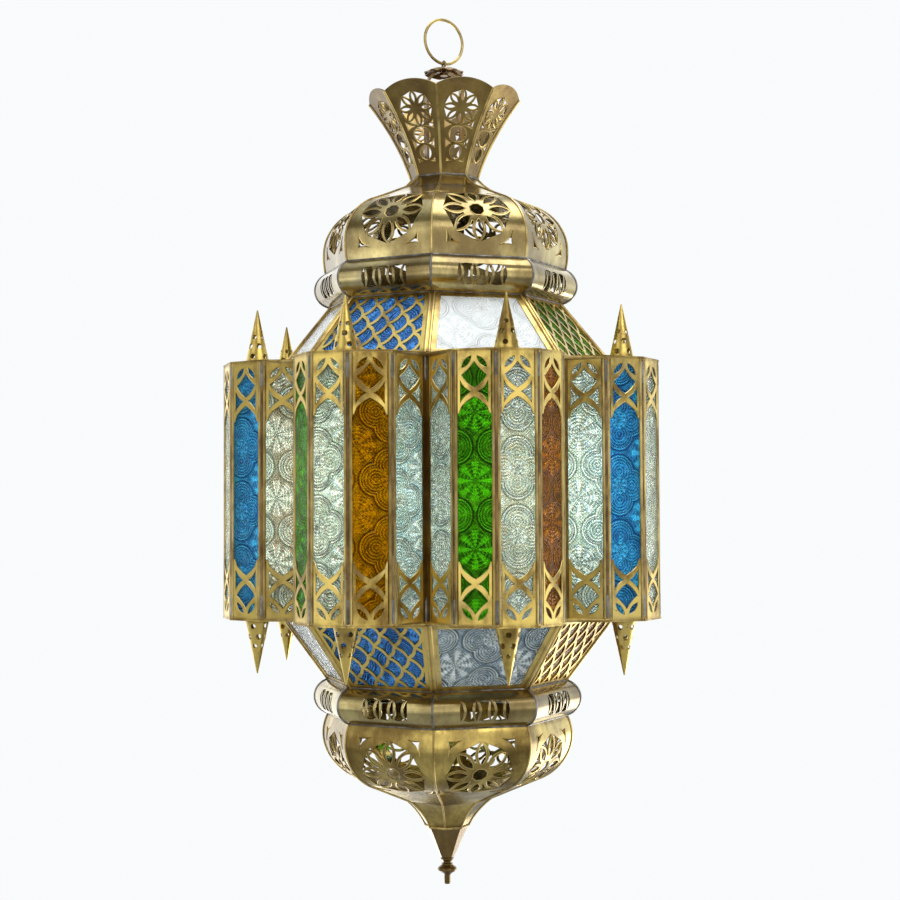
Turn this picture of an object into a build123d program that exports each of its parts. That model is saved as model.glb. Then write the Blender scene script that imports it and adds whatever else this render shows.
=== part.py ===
from build123d import *
import math
import os

os.makedirs("parts", exist_ok=True)

# Hanging lantern of soldered brass sheet and pressed glass. Millimetres, +Z up, origin at the hang point:
# the lowest point of the hook's seat, on the inside of the ring's top. Bay 0 faces -Y.

# Plan: eight bays stand out of an octagon, and each bay is five sides of a regular decagon
bay_count = 8
bay_panes = 5
decagon_sides = 10
pane_pitch = 33.0

# Sheet, glass and gaps
sheet = 1.0
glass = 3.0
overlay_sheet = 0.8
seam_gap = 0.1
running_gap = 0.05
swing_gap = 0.2
cut_overrun = 6.0

# Tiers, each a drop or a height along the axis
crown_drop = 67.6
crown_height = 64.2
upper_dome_height = 76.4
moulding_height = 27.8
upper_shoulder_height = 51.4
body_height = 200.2
lower_shoulder_height = 53.1
lower_dome_height = 89.0
tip_height = 26.0

# Radii at the octagon's corners
crown_radius = 62.1
neck_radius = 27.4
upper_dome_radius = 100.5
lower_dome_radius = 101.3
moulding_proud = 7.5
upper_shoulder_radius = 95.0
lower_shoulder_radius = 97.5
shoulder_set_back = 2.2
tip_radius = 17.6
tip_end_radius = 5.3

# Hanging gear
ring_diameter = 39.0
ring_wire = 2.4
ring_turn = 16.2
ring_chords = 36
wire_sides = 6
eye_bore = 3.2
eye_wire = 1.6
eye_sides = 12
eye_play = 0.2
eye_shank = 2.4
eye_shank_length = 7.4
eye_nut_width = 6.0
eye_nut_height = 2.4
rosette_diameter = 34.0
rosette_flat = 10.0
rosette_drop = 4.0
rosette_lobes = 10
rosette_notch_share = 0.88
stirrup_span = 32.0
stirrup_strap = 2.0
stirrup_width = 9.0
stirrup_foot = 7.0
stirrup_strips = 9
neck_plate = 2.0
neck_boss = 14.0
neck_boss_height = 6.0

# Lamp gear: a standard hollow tube with a lampholder for a screw cap of 27 mm
tube_diameter = 10.0
tube_bore = 7.0
tube_rise = 11.0
tube_length = 102.0
holder_diameter = 40.0
holder_wall = 2.5
holder_top = 4.0
holder_height = 38.0
holder_boss = 17.0
holder_flutes = 24
holder_boss_height = 10.0
holder_base = 4.0
lamp_shell_bore = 26.2
lamp_shell_wall = 0.8
lamp_shell_length = 25.0

# Crown panels: the sag is how far they hollow inwards at half height
crown_arch = 7.0
crown_sag = 3.7
crown_strips = 2
crown_arch_strips = 6
crown_rib = 3.0
crown_rib_proud = 0.8
crown_petals = 6
crown_flower_radius = 11.5
crown_flower_share = 0.69
crown_chain_shares = (0.34,)
crown_leaf_width_share = 0.22
crown_leaf_spread_share = 0.22
crown_leaf_tilt = 28.0

# Dome petals: each outline is a list of (radius share, depth share) that arcs pass through three at a time
upper_dome_shares = (
    ((neck_radius / upper_dome_radius, 0.0), (0.335, 0.083), (0.448, 0.164), 2),
    ((0.448, 0.164), (0.582, 0.236), (0.716, 0.305), 1),
    ((0.716, 0.305), (0.920, 0.492), (1.0, 0.789), 3),
    ((1.0, 0.789), (0.997, 0.894), (0.984, 1.0), 1),
)
lower_dome_shares = (
    ((0.962, 0.0), (1.0, 0.153), (0.972, 0.325), 2),
    ((0.972, 0.325), (0.905, 0.445), (0.762, 0.565), 3),
    ((0.762, 0.565), (0.560, 0.661), (0.357, 0.757), 1),
    ((0.357, 0.757), (0.258, 0.860), (tip_radius / lower_dome_radius, 1.0), 2),
)
rosette_rays = 8
rosette_reach = 25.0
rosette_rise = 39.0
rosette_hub_share = 0.22
rosette_lens_shares = (0.31, 1.0)
rosette_lens_width_share = 0.26

# Half-round mouldings
moulding_strips = 5
slot_count = 3
slot_pitch = 12.0
slot_height = 16.0
slot_width = 3.8

# Shoulders: slanted panes in frames, every second one under a lattice
shoulder_frame = 6.0
came_width = 5.0
came_proud = 1.0
lattice_rows = 3
lattice_pitch = 20.0
lattice_bar = 3.0

# Body
came_leg = 3.8
overlay_height = 43.0
overlay_notch = 15.0
overlay_gap = 0.2
plate_lap = 5.0
spike_distance = 155.2
spike_diameter = 19.5
spike_height = 43.0
spike_tip = 1.6
spike_sides = 8

# Door in the upper shoulder of the bay that faces +Y
door_gap = 0.5
hinge_rail = 8.0
hinge_length = 48.0
hinge_barrel = 4.4
hinge_pin = 2.0
hinge_rise = 1.2
hinge_sides = 8
knuckle_share = 1 / 3
sill_cover = 1.0
sill_lap = 4.0
pull_diameter = 5.0
pull_length = 6.0
pull_sides = 10

# Tip
tip_collar_height = 2.6
tip_collar_proud = 1.2
finial_sides = 16
finial_turns = ((10.6, 7.2, 4.2), (7.2, 15.5, 5.4), (15.5, 6.4, 4.0), (5.2, 5.2, 8.2))

# Glass colours, one word for each diagonal pane: bay by bay, left then right
diagonal_colours = (
    ("green", "brown"),
    ("blue", "green"),
    ("amber", "blue"),
    ("green", "amber"),
    ("blue", "green"),
    ("amber", "blue"),
    ("green", "blue"),
    ("green", "amber"),
)
upper_lattice_colours = {1: "green", 3: "blue", 5: "green", 7: "blue"}
lower_lattice_colours = {1: "amber", 3: "blue", 5: "amber", 7: "blue"}

# Worked out from the sizes above
bay_turn = 360 / bay_count
half_bay = math.radians(bay_turn / 2)
pane_turn = 360 / decagon_sides
half_pane = math.radians(pane_turn / 2)
decagon_radius = pane_pitch / (2 * math.sin(half_pane))
decagon_apothem = decagon_radius * math.cos(half_pane)
bay_distance = decagon_radius / math.tan(half_bay)
shoulder_foot_radius = decagon_radius / math.sin(half_bay) - shoulder_set_back
door_bay = bay_count // 2
crown_z = -crown_drop
neck_z = crown_z - crown_height
upper_moulding_z = neck_z - upper_dome_height
upper_shoulder_z = upper_moulding_z - moulding_height
body_top_z = upper_shoulder_z - upper_shoulder_height
body_bottom_z = body_top_z - body_height
lower_moulding_z = body_bottom_z - lower_shoulder_height
lower_dome_z = lower_moulding_z - moulding_height
tip_z = lower_dome_z - lower_dome_height
finial_z = tip_z - tip_height
ring_radius = (ring_diameter - ring_wire) / 2
ring_z = ring_wire / 2 - ring_radius
eye_z = ring_z - ring_radius + ring_wire / 2 + eye_play - eye_bore / 2
rosette_z = eye_z - eye_bore / 2 - eye_wire - swing_gap
stirrup_z = rosette_z - sheet - seam_gap
neck_plate_z = neck_z + neck_plate
holder_z = neck_plate_z + tube_rise - tube_length + holder_boss_height
shell_top_z = holder_z - holder_boss_height - holder_top - holder_base
radial_plane = Plane(origin=(0, 0, 0), x_dir=(0, -1, 0), z_dir=(-1, 0, 0))


def apothem(radius):
    return radius * math.cos(half_bay)


def write(name, shapes):
    solids = [solid for shape in shapes for solid in shape.solids()]
    export_step(Compound(solids), f"parts/{name}.step")


def at_bays(shape, bays=range(bay_count), turn=0):
    return [Rot(0, 0, turn + bay * bay_turn) * shape for bay in bays]


def outline_face(points):
    return make_face(Polyline(*points, close=True))


def sector(gap, low, high):
    # The space of one bay between its two seam planes, less a gap at each of them
    reach = crown_drop - finial_z
    side = reach * math.tan(half_bay)
    apex = gap / math.sin(half_bay)
    plan = outline_face(((0, -apex), (-side, -apex - reach), (side, -apex - reach)))
    return extrude(Pos(0, 0, low) * plan, amount=high - low)


def arc_points(start, middle, end, strips):
    # Points that divide the arc through three points into flat strips, or the line where they are in line
    (ax, ay), (bx, by), (cx, cy) = start, middle, end
    if strips == 1:
        return [start, end]
    cross = 2 * (ax * (by - cy) + bx * (cy - ay) + cx * (ay - by))
    a2, b2, c2 = ax * ax + ay * ay, bx * bx + by * by, cx * cx + cy * cy
    ux = (a2 * (by - cy) + b2 * (cy - ay) + c2 * (ay - by)) / cross
    uy = (a2 * (cx - bx) + b2 * (ax - cx) + c2 * (bx - ax)) / cross
    radius = math.hypot(ax - ux, ay - uy)
    first = math.atan2(ay - uy, ax - ux)
    sweep = math.remainder(math.atan2(cy - uy, cx - ux) - first, math.tau)
    if sweep * math.remainder(math.atan2(by - uy, bx - ux) - first, math.tau) < 0:
        sweep -= math.copysign(math.tau, sweep)
    turns = [first + sweep * step / strips for step in range(strips + 1)]
    return [(ux + radius * math.cos(turn), uy + radius * math.sin(turn)) for turn in turns]


def strip_face(points, thickness):
    # A bent sheet seen edge on: the points are its outer face, and its thickness is on their right
    turns = [math.atan2(b[1] - a[1], b[0] - a[0]) for a, b in zip(points, points[1:])]
    inner = []
    for (x, y), before, after in zip(points, turns[:1] + turns, turns + turns[-1:]):
        half = math.remainder(after - before, math.tau) / 2
        across = before + half - math.pi / 2
        reach = thickness / math.cos(half)
        inner.append((x + reach * math.cos(across), y + reach * math.sin(across)))
    return outline_face(points + inner[::-1])


def bent_panel(points, width, gap, low, high):
    # A sheet bent along the points, as wide as its bay and mitred at both seams
    face = radial_plane * strip_face(points, sheet)
    return extrude(face, amount=width, both=True) & sector(gap, low, high)


def slant_plane(low_radius, low, high_radius, high):
    # The plane of a flat slanted face of bay 0: x to the right, y up the slope, z outward
    rise = Vector(0, apothem(low_radius) - apothem(high_radius), high - low).normalized()
    origin = (0, -apothem(low_radius), low)
    return Plane(origin=origin, x_dir=(1, 0, 0), z_dir=Vector(1, 0, 0).cross(rise))


def lens(length, width):
    return outline_face(((-length / 2, 0), (0, -width / 2), (length / 2, 0), (0, width / 2)))


def hexagon(width):
    return RegularPolygon(width / 2, 6, major_radius=False)


def narrowing(radius, end_radius, sides, height, turn=0):
    # A straight-sided prism that narrows from one radius at its corners to another
    lean = math.atan2((radius - end_radius) * math.cos(math.pi / sides), abs(height))
    plan = RegularPolygon(radius, sides, rotation=turn)
    return extrude(plan, amount=height, taper=math.degrees(lean))


def drilled(outside, bore):
    box = outside.bounding_box()
    hole = Cylinder(bore / 2, box.size.Z + 2 * cut_overrun)
    return outside - Pos(0, 0, box.center().Z) * hole


def tube(diameter, bore, top, length):
    body = Cylinder(diameter / 2, length, align=(Align.CENTER, Align.CENTER, Align.MAX))
    return drilled(Pos(0, 0, top) * body, bore)


def nut(width, height, bore, top):
    return drilled(extrude(Pos(0, 0, top - height) * hexagon(width), amount=height), bore)


# Hanging gear
def hanging_ring():
    # Wire bent round in short chords
    turns = [math.tau * step / ring_chords for step in range(ring_chords)]
    spots = [(ring_radius * math.cos(turn), ring_radius * math.sin(turn)) for turn in turns]
    path = Polyline(*spots, close=True)
    start = Plane(origin=path @ 0, z_dir=path % 0)
    hoop = sweep(start * RegularPolygon(ring_wire / 2, wire_sides), path=path, transition=Transition.RIGHT)
    return Rot(0, 0, ring_turn) * Pos(0, 0, ring_z) * Rot(90, 0, 0) * hoop


def swivel_eye():
    outer = eye_bore / 2 + eye_wire
    loop = extrude(RegularPolygon(outer, eye_sides) - Circle(eye_bore / 2), amount=eye_wire / 2, both=True)
    shank = Cylinder(eye_shank / 2, eye_shank_length, align=(Align.CENTER, Align.CENTER, Align.MAX))
    shank = Pos(0, 0, eye_z - eye_bore / 2 - eye_wire / 2) * shank
    return Rot(0, 0, ring_turn) * (Pos(0, 0, eye_z) * Rot(0, 90, 0) * loop + shank)


def rosette_cap():
    # A low umbrella of flat gores, cut round its rim into lobes
    flat, rim = rosette_flat / 2, rosette_diameter / 2
    shell = narrowing(rim, flat, rosette_lobes, rosette_drop)
    shell = shell - Pos(0, 0, -sheet) * narrowing(rim, flat, rosette_lobes, rosette_drop)
    edge = []
    for lobe in range(rosette_lobes):
        for share, reach in ((0, rim * rosette_notch_share), (1 / 3, rim), (2 / 3, rim)):
            edge.append(flat_point(math.tau * (lobe + share) / rosette_lobes, reach))
    shell = shell & extrude(outline_face(edge), amount=rosette_drop)
    return drilled(Pos(0, 0, rosette_z - rosette_drop) * shell, eye_shank + 2 * running_gap)


def hanger_stirrup():
    # A strap bent over a mandrel: two feet, two legs and an arch in short strips
    outer = stirrup_span / 2
    centre, foot = stirrup_z - outer, neck_plate_z
    arch = arc_points((-outer, centre), (0, stirrup_z), (outer, centre), stirrup_strips)
    path = [(-outer, foot + stirrup_strap), *arch, (outer, foot + stirrup_strap)]
    face = strip_face(path, stirrup_strap)
    pad = Rectangle(stirrup_foot, stirrup_strap)
    for side in (-1, 1):
        face += Pos(side * (outer - stirrup_foot / 2), foot + stirrup_strap / 2) * pad
    strap = extrude(Plane.XZ * face, amount=stirrup_width / 2, both=True)
    bore = Cylinder(eye_shank / 2 + running_gap, 2 * stirrup_strap + cut_overrun)
    return strap - Pos(0, 0, stirrup_z) * bore


def eye_nut():
    # Its corners stay clear of the inside of the arch
    inside = stirrup_span / 2 * math.cos(math.pi / 2 / stirrup_strips) - stirrup_strap
    corner = eye_nut_width / math.sqrt(3)
    top = stirrup_z - stirrup_span / 2 + math.sqrt(inside**2 - corner**2) - swing_gap
    return nut(eye_nut_width, eye_nut_height, eye_shank + 2 * running_gap, top)


def neck_plate_solid():
    # It closes the neck and has a six-sided boss that holds the lamp tube
    lean = math.atan2(apothem(crown_radius - neck_radius), crown_height)
    inside = apothem(neck_radius) - sheet / math.cos(lean) - seam_gap
    plan = RegularPolygon(inside, bay_count, major_radius=False, rotation=bay_turn / 2)
    plate = extrude(Pos(0, 0, neck_z) * plan, amount=neck_plate)
    plate += extrude(Pos(0, 0, neck_z) * hexagon(neck_boss), amount=neck_plate + neck_boss_height)
    return drilled(plate, tube_diameter + 2 * running_gap)


# Lamp gear
def lampholder_body():
    # A fluted cup with a six-sided boss that grips the tube
    low = holder_z - holder_boss_height - holder_height
    shape = extrude(Pos(0, 0, low) * RegularPolygon(holder_diameter / 2, holder_flutes), amount=holder_height)
    shape += extrude(Pos(0, 0, low + holder_height) * hexagon(holder_boss), amount=holder_boss_height)
    inside = RegularPolygon(holder_diameter / 2 - holder_wall, holder_flutes)
    shape -= extrude(Pos(0, 0, low) * inside, amount=holder_height - holder_top)
    return drilled(shape, tube_diameter + 2 * running_gap)


def lamp_shell():
    # The threaded cup for the lamp's cap, open downwards
    outer = RegularPolygon(lamp_shell_bore / 2 + lamp_shell_wall, holder_flutes, major_radius=False)
    cup = extrude(Pos(0, 0, shell_top_z - lamp_shell_length) * outer, amount=lamp_shell_length + holder_base)
    bore = Cylinder(lamp_shell_bore / 2, lamp_shell_length, align=(Align.CENTER, Align.CENTER, Align.MAX))
    return cup - Pos(0, 0, shell_top_z) * bore


# Crown
def crown_points():
    # A panel's outer face seen edge on, from its upper corners down to the neck
    top, foot = (apothem(crown_radius), crown_z), (apothem(neck_radius), neck_z)
    waist = (apothem((crown_radius + neck_radius) / 2 - crown_sag), (crown_z + neck_z) / 2)
    return arc_points(top, waist, foot, crown_strips)


def crown_panel():
    # Bent in strips, with an arch that rises above its corners in the plane of the upper strip
    points = crown_points()
    slope = sum(math.dist(a, b) for a, b in zip(points, points[1:]))
    (ax, ay), (bx, by) = points[:2]
    rise = crown_arch / math.dist(*points[:2])
    peak = (ax + (ax - bx) * rise, ay + (ay - by) * rise)
    panel = bent_panel([peak, *points[1:]], crown_radius, crown_rib / 2, neck_z, crown_z + crown_arch)
    top, low = ax * math.tan(half_bay), apothem(neck_radius) * math.tan(half_bay)
    arch = arc_points((top, 0), (0, crown_arch), (-top, 0), crown_arch_strips)
    cutter = outline_face([(-top, -2 * slope), (top, -2 * slope), *arch])
    panel &= extrude(surface_plane(points, 0) * cutter, amount=crown_radius, both=True)
    holes = []
    length = crown_flower_radius * (1 - crown_leaf_width_share)
    leaf = lens(length, crown_flower_radius * 2 * crown_leaf_width_share)
    flower = surface_plane(points, slope * (1 - crown_flower_share))
    for petal in range(crown_petals):
        spin = Rot(0, 0, 90 + petal * 360 / crown_petals)
        holes.append(flower * (spin * Pos(crown_flower_radius - length / 2, 0) * leaf))
    for share in crown_chain_shares:
        width = low + (top - low) * share
        link = surface_plane(points, slope * (1 - share))
        for side in (-1, 1):
            leaf = Rot(0, 0, 90 - side * crown_leaf_tilt) * lens(width / 2, width * crown_leaf_width_share)
            holes.append(link * (Pos(side * width * crown_leaf_spread_share, 0) * leaf))
    return panel - [extrude(hole, amount=cut_overrun, both=True) for hole in holes]


def crown_rib_bar():
    # It follows the corner between two panels
    lean = Vector(crown_radius - neck_radius, crown_height).normalized()
    edge = [(x / math.cos(half_bay) + crown_rib_proud / lean.Y, z) for x, z in crown_points()]
    face = strip_face(edge, crown_rib_proud + sheet)
    return extrude(radial_plane * face, amount=crown_rib / 2, both=True)


# Domes
def dome_points(shares, radius, top, height):
    points = []
    for start, middle, end, strips in shares:
        ends = [(apothem(radius) * share, top - height * depth) for share, depth in (start, middle, end)]
        points += arc_points(*ends, strips)[1 if points else 0:]
    return points


def surface_plane(points, distance):
    # The plane that touches a bent sheet at a distance along it from its first point
    for (ax, ay), (bx, by) in zip(points, points[1:]):
        run = math.hypot(bx - ax, by - ay)
        if distance <= run or (bx, by) == points[-1]:
            break
        distance -= run
    share = distance / run
    spot = (0, -(ax + (bx - ax) * share), ay + (by - ay) * share)
    return Plane(origin=spot, x_dir=(1, 0, 0), z_dir=(0, (by - ay) / run, (bx - ax) / run))


def rosette_holes():
    # Hub and rays of the pierced rosette, laid out flat: (centre, face about its own centre)
    holes = [((0, 0), RegularPolygon(rosette_reach * rosette_hub_share, rosette_rays))]
    start, end = (rosette_reach * share for share in rosette_lens_shares)
    middle = (start + end) / 2
    for ray in range(rosette_rays):
        turn = ray * 360 / rosette_rays
        spot = (middle * math.cos(math.radians(turn)), middle * math.sin(math.radians(turn)))
        holes.append((spot, Rot(0, 0, turn) * lens(end - start, rosette_reach * rosette_lens_width_share)))
    return holes


def dome_petal(points, centre, low, high):
    # The rosette is pierced flat before the petal is bent, so each hole is cut square to the bent sheet
    panel = bent_panel(points, upper_dome_radius, seam_gap, low, high)
    cuts = []
    for (across, up), face in rosette_holes():
        plane = surface_plane(points, centre - up)
        cuts.append(extrude(plane * (Pos(across, 0) * face), amount=cut_overrun, both=True))
    return panel - cuts


def upper_dome_petal():
    points = dome_points(upper_dome_shares, upper_dome_radius, neck_z, upper_dome_height)
    length = sum(math.dist(a, b) for a, b in zip(points, points[1:]))
    return dome_petal(points, length - rosette_rise, upper_moulding_z, neck_z)


def lower_dome_petal():
    points = dome_points(lower_dome_shares, lower_dome_radius, lower_dome_z, lower_dome_height)
    return dome_petal(points, rosette_rise, tip_z, lower_dome_z)


# Mouldings
def moulding_length(top, upper_radius, crest_radius, lower_radius):
    # Its edges meet those of the pieces above and below
    crest, half = apothem(crest_radius), moulding_height / 2
    middle = top - half
    ends = (apothem(upper_radius), top), (crest, middle), (apothem(lower_radius), top - moulding_height)
    points = arc_points(*ends, moulding_strips)
    panel = bent_panel(points, crest_radius, seam_gap / 2, top - moulding_height, top)
    front = Plane(origin=(0, -crest, middle), x_dir=(1, 0, 0), z_dir=(0, -1, 0))
    slot = Rot(0, 0, 90) * lens(slot_height, slot_width)
    slots = [Pos((n - (slot_count - 1) / 2) * slot_pitch, 0) * slot for n in range(slot_count)]
    return panel - [extrude(front * s, amount=half, both=True) for s in slots]


# Shoulders
def shoulder_plan(low_radius, low, high_radius, high):
    # The slanted plane of a shoulder, its slope and the half widths of its lower and upper edges
    slope = math.hypot(high - low, apothem(high_radius - low_radius))
    halves = [apothem(radius) * math.tan(half_bay) for radius in (low_radius, high_radius)]
    return slant_plane(low_radius, low, high_radius, high), slope, *halves


def slab(plane, halves, span, depth, thickness, holes=()):
    # A flat sheet in a slanted plane, as wide as needed for its bay, with holes through it
    wide = max(halves) + cut_overrun
    face = outline_face(((-wide, span[0]), (wide, span[0]), (wide, span[1]), (-wide, span[1])))
    face = face - list(holes) if holes else face
    return extrude(plane.offset(-depth) * face, amount=-thickness)


def window(low_half, high_half, slope, inset, span):
    # A trapezoid opening that leaves the same margin at both slanted sides
    lean = (high_half - low_half) / slope
    margin = inset * math.hypot(1, lean)
    ends = [(low_half + lean * y - margin, y) for y in span]
    return outline_face((ends[0], ends[1], (-ends[1][0], ends[1][1]), (-ends[0][0], ends[0][1])))


def lattice_holes(low_half, high_half, slope):
    # Rows of diamonds, each row shifted half a pitch, inside the sheet's margins
    height = (slope - 2 * shoulder_frame) / lattice_rows
    diamond = Rot(0, 0, 90) * lens(height + lattice_bar, lattice_pitch - 2 * lattice_bar)
    holes = []
    for row in range(lattice_rows):
        y = shoulder_frame + height * (row + 1 / 2)
        room = low_half + (high_half - low_half) * y / slope - shoulder_frame - lattice_pitch / 2
        count = 2 * int(room / lattice_pitch + (row % 2) / 2) + 1 - row % 2
        holes += [Pos((n - (count - 1) / 2) * lattice_pitch, y) * diamond for n in range(count)]
    return holes


def shoulder_came(low_radius, low, high_radius, high):
    across = (high - low) / math.hypot(high - low, high_radius - low_radius)
    proud, deep = came_proud / across, (sheet + glass) / across
    edge = [(low_radius + proud, low), (high_radius + proud, high)]
    edge += [(high_radius - deep, high), (low_radius - deep, low)]
    return extrude(radial_plane * outline_face(edge), amount=came_width / 2, both=True)


def shoulder_pieces(low_radius, low, high_radius, high):
    # One framed pane's frame, one lattice, one pane of glass and one came
    plane, slope, *halves = shoulder_plan(low_radius, low, high_radius, high)
    room = sector(came_width / 2, low, high)
    reach = (-slope, 2 * slope)
    inset = shoulder_frame + came_width / 2
    opening = window(*halves, slope, inset, (shoulder_frame, slope - shoulder_frame))
    frame = slab(plane, halves, reach, 0, sheet, [opening]) & room
    lattice = slab(plane, halves, reach, 0, sheet, lattice_holes(*halves, slope)) & room
    pane = slab(plane, halves, reach, sheet, glass) & room
    return frame, lattice, pane, shoulder_came(low_radius, low, high_radius, high)


# Door: a framed pane that lifts on a barrel hinge under the upper moulding
def hinge_pieces():
    foot, top = (shoulder_foot_radius, body_top_z), (upper_shoulder_radius, upper_shoulder_z)
    plane, slope, *halves = shoulder_plan(*foot, *top)
    line = slope - hinge_rail
    knuckle = hinge_length * knuckle_share
    barrel = plane * Pos(0, line, hinge_rise) * Rot(0, 90, 0)

    def barrels(radius, spread, length):
        rod = extrude(RegularPolygon(radius, hinge_sides), amount=length / 2, both=True)
        return [barrel * Pos(0, 0, side * knuckle) * rod for side in spread]

    outer, clear = hinge_barrel / 2, hinge_barrel / 2 + swing_gap
    pin = barrel * Cylinder(hinge_pin / 2, hinge_length)
    bore = barrel * Cylinder(hinge_pin / 2 + running_gap, hinge_length + cut_overrun)
    stop = sheet + glass + swing_gap
    sill_top = sill_cover + stop * (foot[0] - top[0]) * math.cos(half_bay) / (top[1] - foot[1])
    low, high = sill_top + door_gap, line - door_gap
    leaf_room = sector(came_width / 2 + door_gap, body_top_z, upper_shoulder_z)
    inset = shoulder_frame + came_width / 2 + door_gap
    opening = window(*halves, slope, inset, (low + shoulder_frame, high - shoulder_frame))
    leaf = slab(plane, halves, (low, high), 0, sheet, [opening]) & leaf_room
    leaf = leaf - barrels(clear, (-1, 1), knuckle + 2 * swing_gap)
    leaf = leaf + barrels(outer, (0,), knuckle - 2 * swing_gap) - bore
    pane = slab(plane, halves, (low, high - hinge_barrel), sheet, glass) & leaf_room
    room = sector(came_width / 2, body_top_z, upper_shoulder_z)
    rail = slab(plane, halves, (line + door_gap, 2 * slope), 0, sheet + glass) & room
    rail = rail - barrels(clear, (0,), knuckle + 2 * swing_gap)
    rail = rail + barrels(outer, (-1, 1), knuckle - 2 * swing_gap) - bore
    sill = slab(plane, halves, (-slope, sill_top), 0, stop)
    sill += slab(plane, halves, (-slope, sill_top + sill_lap), stop, sheet)
    spot = plane * Pos(0, low + shoulder_frame / 2, 0)
    pull = spot * extrude(RegularPolygon(pull_diameter / 2, pull_sides), amount=pull_length)
    return leaf, pane, rail, pin, sill & room, pull


# Body
def flat_point(turn, distance):
    return distance * math.sin(turn), -distance * math.cos(turn)


def corner_strip(corner, first, second):
    # A strip bent along an upright corner between two faces whose outward directions are given
    def spot(turn, along, inward):
        out = flat_point(turn, inward)
        return corner[0] + along * math.cos(turn) - out[0], corner[1] + along * math.sin(turn) - out[1]

    bend = (first + second) / 2
    fold = flat_point(bend, sheet / math.cos((second - first) / 2))
    edge = [spot(first, -came_leg, 0), corner, spot(second, came_leg, 0), spot(second, came_leg, sheet)]
    edge += [(corner[0] - fold[0], corner[1] - fold[1]), spot(first, -came_leg, sheet)]
    plan = Pos(0, 0, body_bottom_z + sheet) * outline_face(edge)
    return extrude(plan, amount=body_height - 2 * sheet)


def bay_corner(number):
    # Corners are numbered from the left, as seen from outside: the first and last are the octagon's
    turn = math.radians(pane_turn * (number - bay_panes / 2))
    x, y = flat_point(turn, decagon_radius)
    return x, y - bay_distance


def face_turn(number):
    return math.radians(pane_turn * (number - (bay_panes - 1) / 2))


def outer_came(number):
    return corner_strip(bay_corner(number), face_turn(number - 1), face_turn(number))


def inner_came():
    return corner_strip(bay_corner(bay_panes), face_turn(bay_panes - 1), 2 * half_bay + face_turn(0))


def at_face(shape, number):
    return Pos(0, -bay_distance, 0) * Rot(0, 0, math.degrees(face_turn(number))) * shape


def upright_pane():
    half = pane_pitch / 2 - (sheet + glass) * math.tan(half_pane) - seam_gap
    box = Box(2 * half, glass, body_height - 2 * sheet)
    return Pos(0, -decagon_apothem + sheet + glass / 2, (body_top_z + body_bottom_z) / 2) * box


def overlay_plate():
    # The top plate of a pane, with a pointed arch over the glass
    half = pane_pitch / 2 - came_leg - overlay_gap
    height = overlay_height
    edge = ((-half, 0), (half, 0), (half, -height), (0, overlay_notch - height), (-half, -height))
    spot = (0, -decagon_apothem + sheet - overlay_sheet, body_top_z - sheet)
    plane = Plane(origin=spot, x_dir=(1, 0, 0), z_dir=(0, -1, 0))
    return extrude(plane * outline_face(edge), amount=-overlay_sheet)


def bay_plate(low):
    inside = apothem(shoulder_foot_radius) - plate_lap
    side = inside * math.tan(half_bay)
    edge = [bay_corner(number) for number in range(bay_panes + 1)] + [(side, -inside), (-side, -inside)]
    return extrude(Pos(0, 0, low) * outline_face(edge), amount=sheet)


def spike():
    # A hollow cone soldered up from sheet
    outer, inner = spike_diameter / 2, spike_diameter / 2 - sheet
    shell = narrowing(outer, spike_tip / 2, spike_sides, spike_height)
    shell = shell - narrowing(inner, spike_tip / 4, spike_sides, spike_height * inner / outer)
    return Pos(0, -spike_distance, body_top_z) * shell


def turned_over(shape):
    # The lower counterpart of a piece at the body's top edge
    return Pos(0, 0, body_top_z + body_bottom_z) * mirror(shape, Plane.XY)


# Tip
def octagon(radius):
    return RegularPolygon(radius, bay_count, rotation=bay_turn / 2)


def tip_cone():
    cone = narrowing(tip_radius, tip_end_radius, bay_count, tip_height, bay_turn / 2)
    return Pos(0, 0, tip_z) * Rot(180, 0, 0) * cone


def tip_collar():
    band = octagon(tip_radius + tip_collar_proud) - octagon(tip_radius + seam_gap)
    return extrude(Pos(0, 0, tip_z - tip_collar_height) * band, amount=tip_collar_height)


def finial():
    # Turned stem, two cones that meet in the knob's rim, and a stub, one under the other
    top, shape = finial_z, []
    for start, end, height in finial_turns:
        if start > end:
            turn = Pos(0, 0, top) * Rot(180, 0, 0) * narrowing(start / 2, end / 2, finial_sides, height)
        else:
            turn = Pos(0, 0, top - height) * narrowing(end / 2, start / 2, finial_sides, height)
        shape.append(turn)
        top -= height
    return shape[0].fuse(*shape[1:])


# Write the pieces
write("hanging_ring", [hanging_ring()])
write("swivel_eye", [swivel_eye()])
write("eye_nut", [eye_nut()])
write("rosette_cap", [rosette_cap()])
write("hanger_stirrup", [hanger_stirrup()])
write("neck_plate", [neck_plate_solid()])

write("lamp_tube", [tube(tube_diameter, tube_bore, neck_plate_z + tube_rise, tube_length)])
write("lampholder_body", [lampholder_body()])
write("lamp_shell", [lamp_shell()])

write("crown_panels", at_bays(crown_panel()))
write("crown_ribs", at_bays(crown_rib_bar(), turn=bay_turn / 2))
write("upper_dome_petals", at_bays(upper_dome_petal()))
write("lower_dome_petals", at_bays(lower_dome_petal()))
dome_edge = upper_dome_radius * upper_dome_shares[-1][-2][0]
crest = upper_dome_radius + moulding_proud
write("upper_moulding", at_bays(moulding_length(upper_moulding_z, dome_edge, crest, upper_shoulder_radius)))
dome_edge = lower_dome_radius * lower_dome_shares[0][0][0]
crest = lower_dome_radius + moulding_proud
write("lower_moulding", at_bays(moulding_length(lower_moulding_z, lower_shoulder_radius, crest, dome_edge)))

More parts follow.
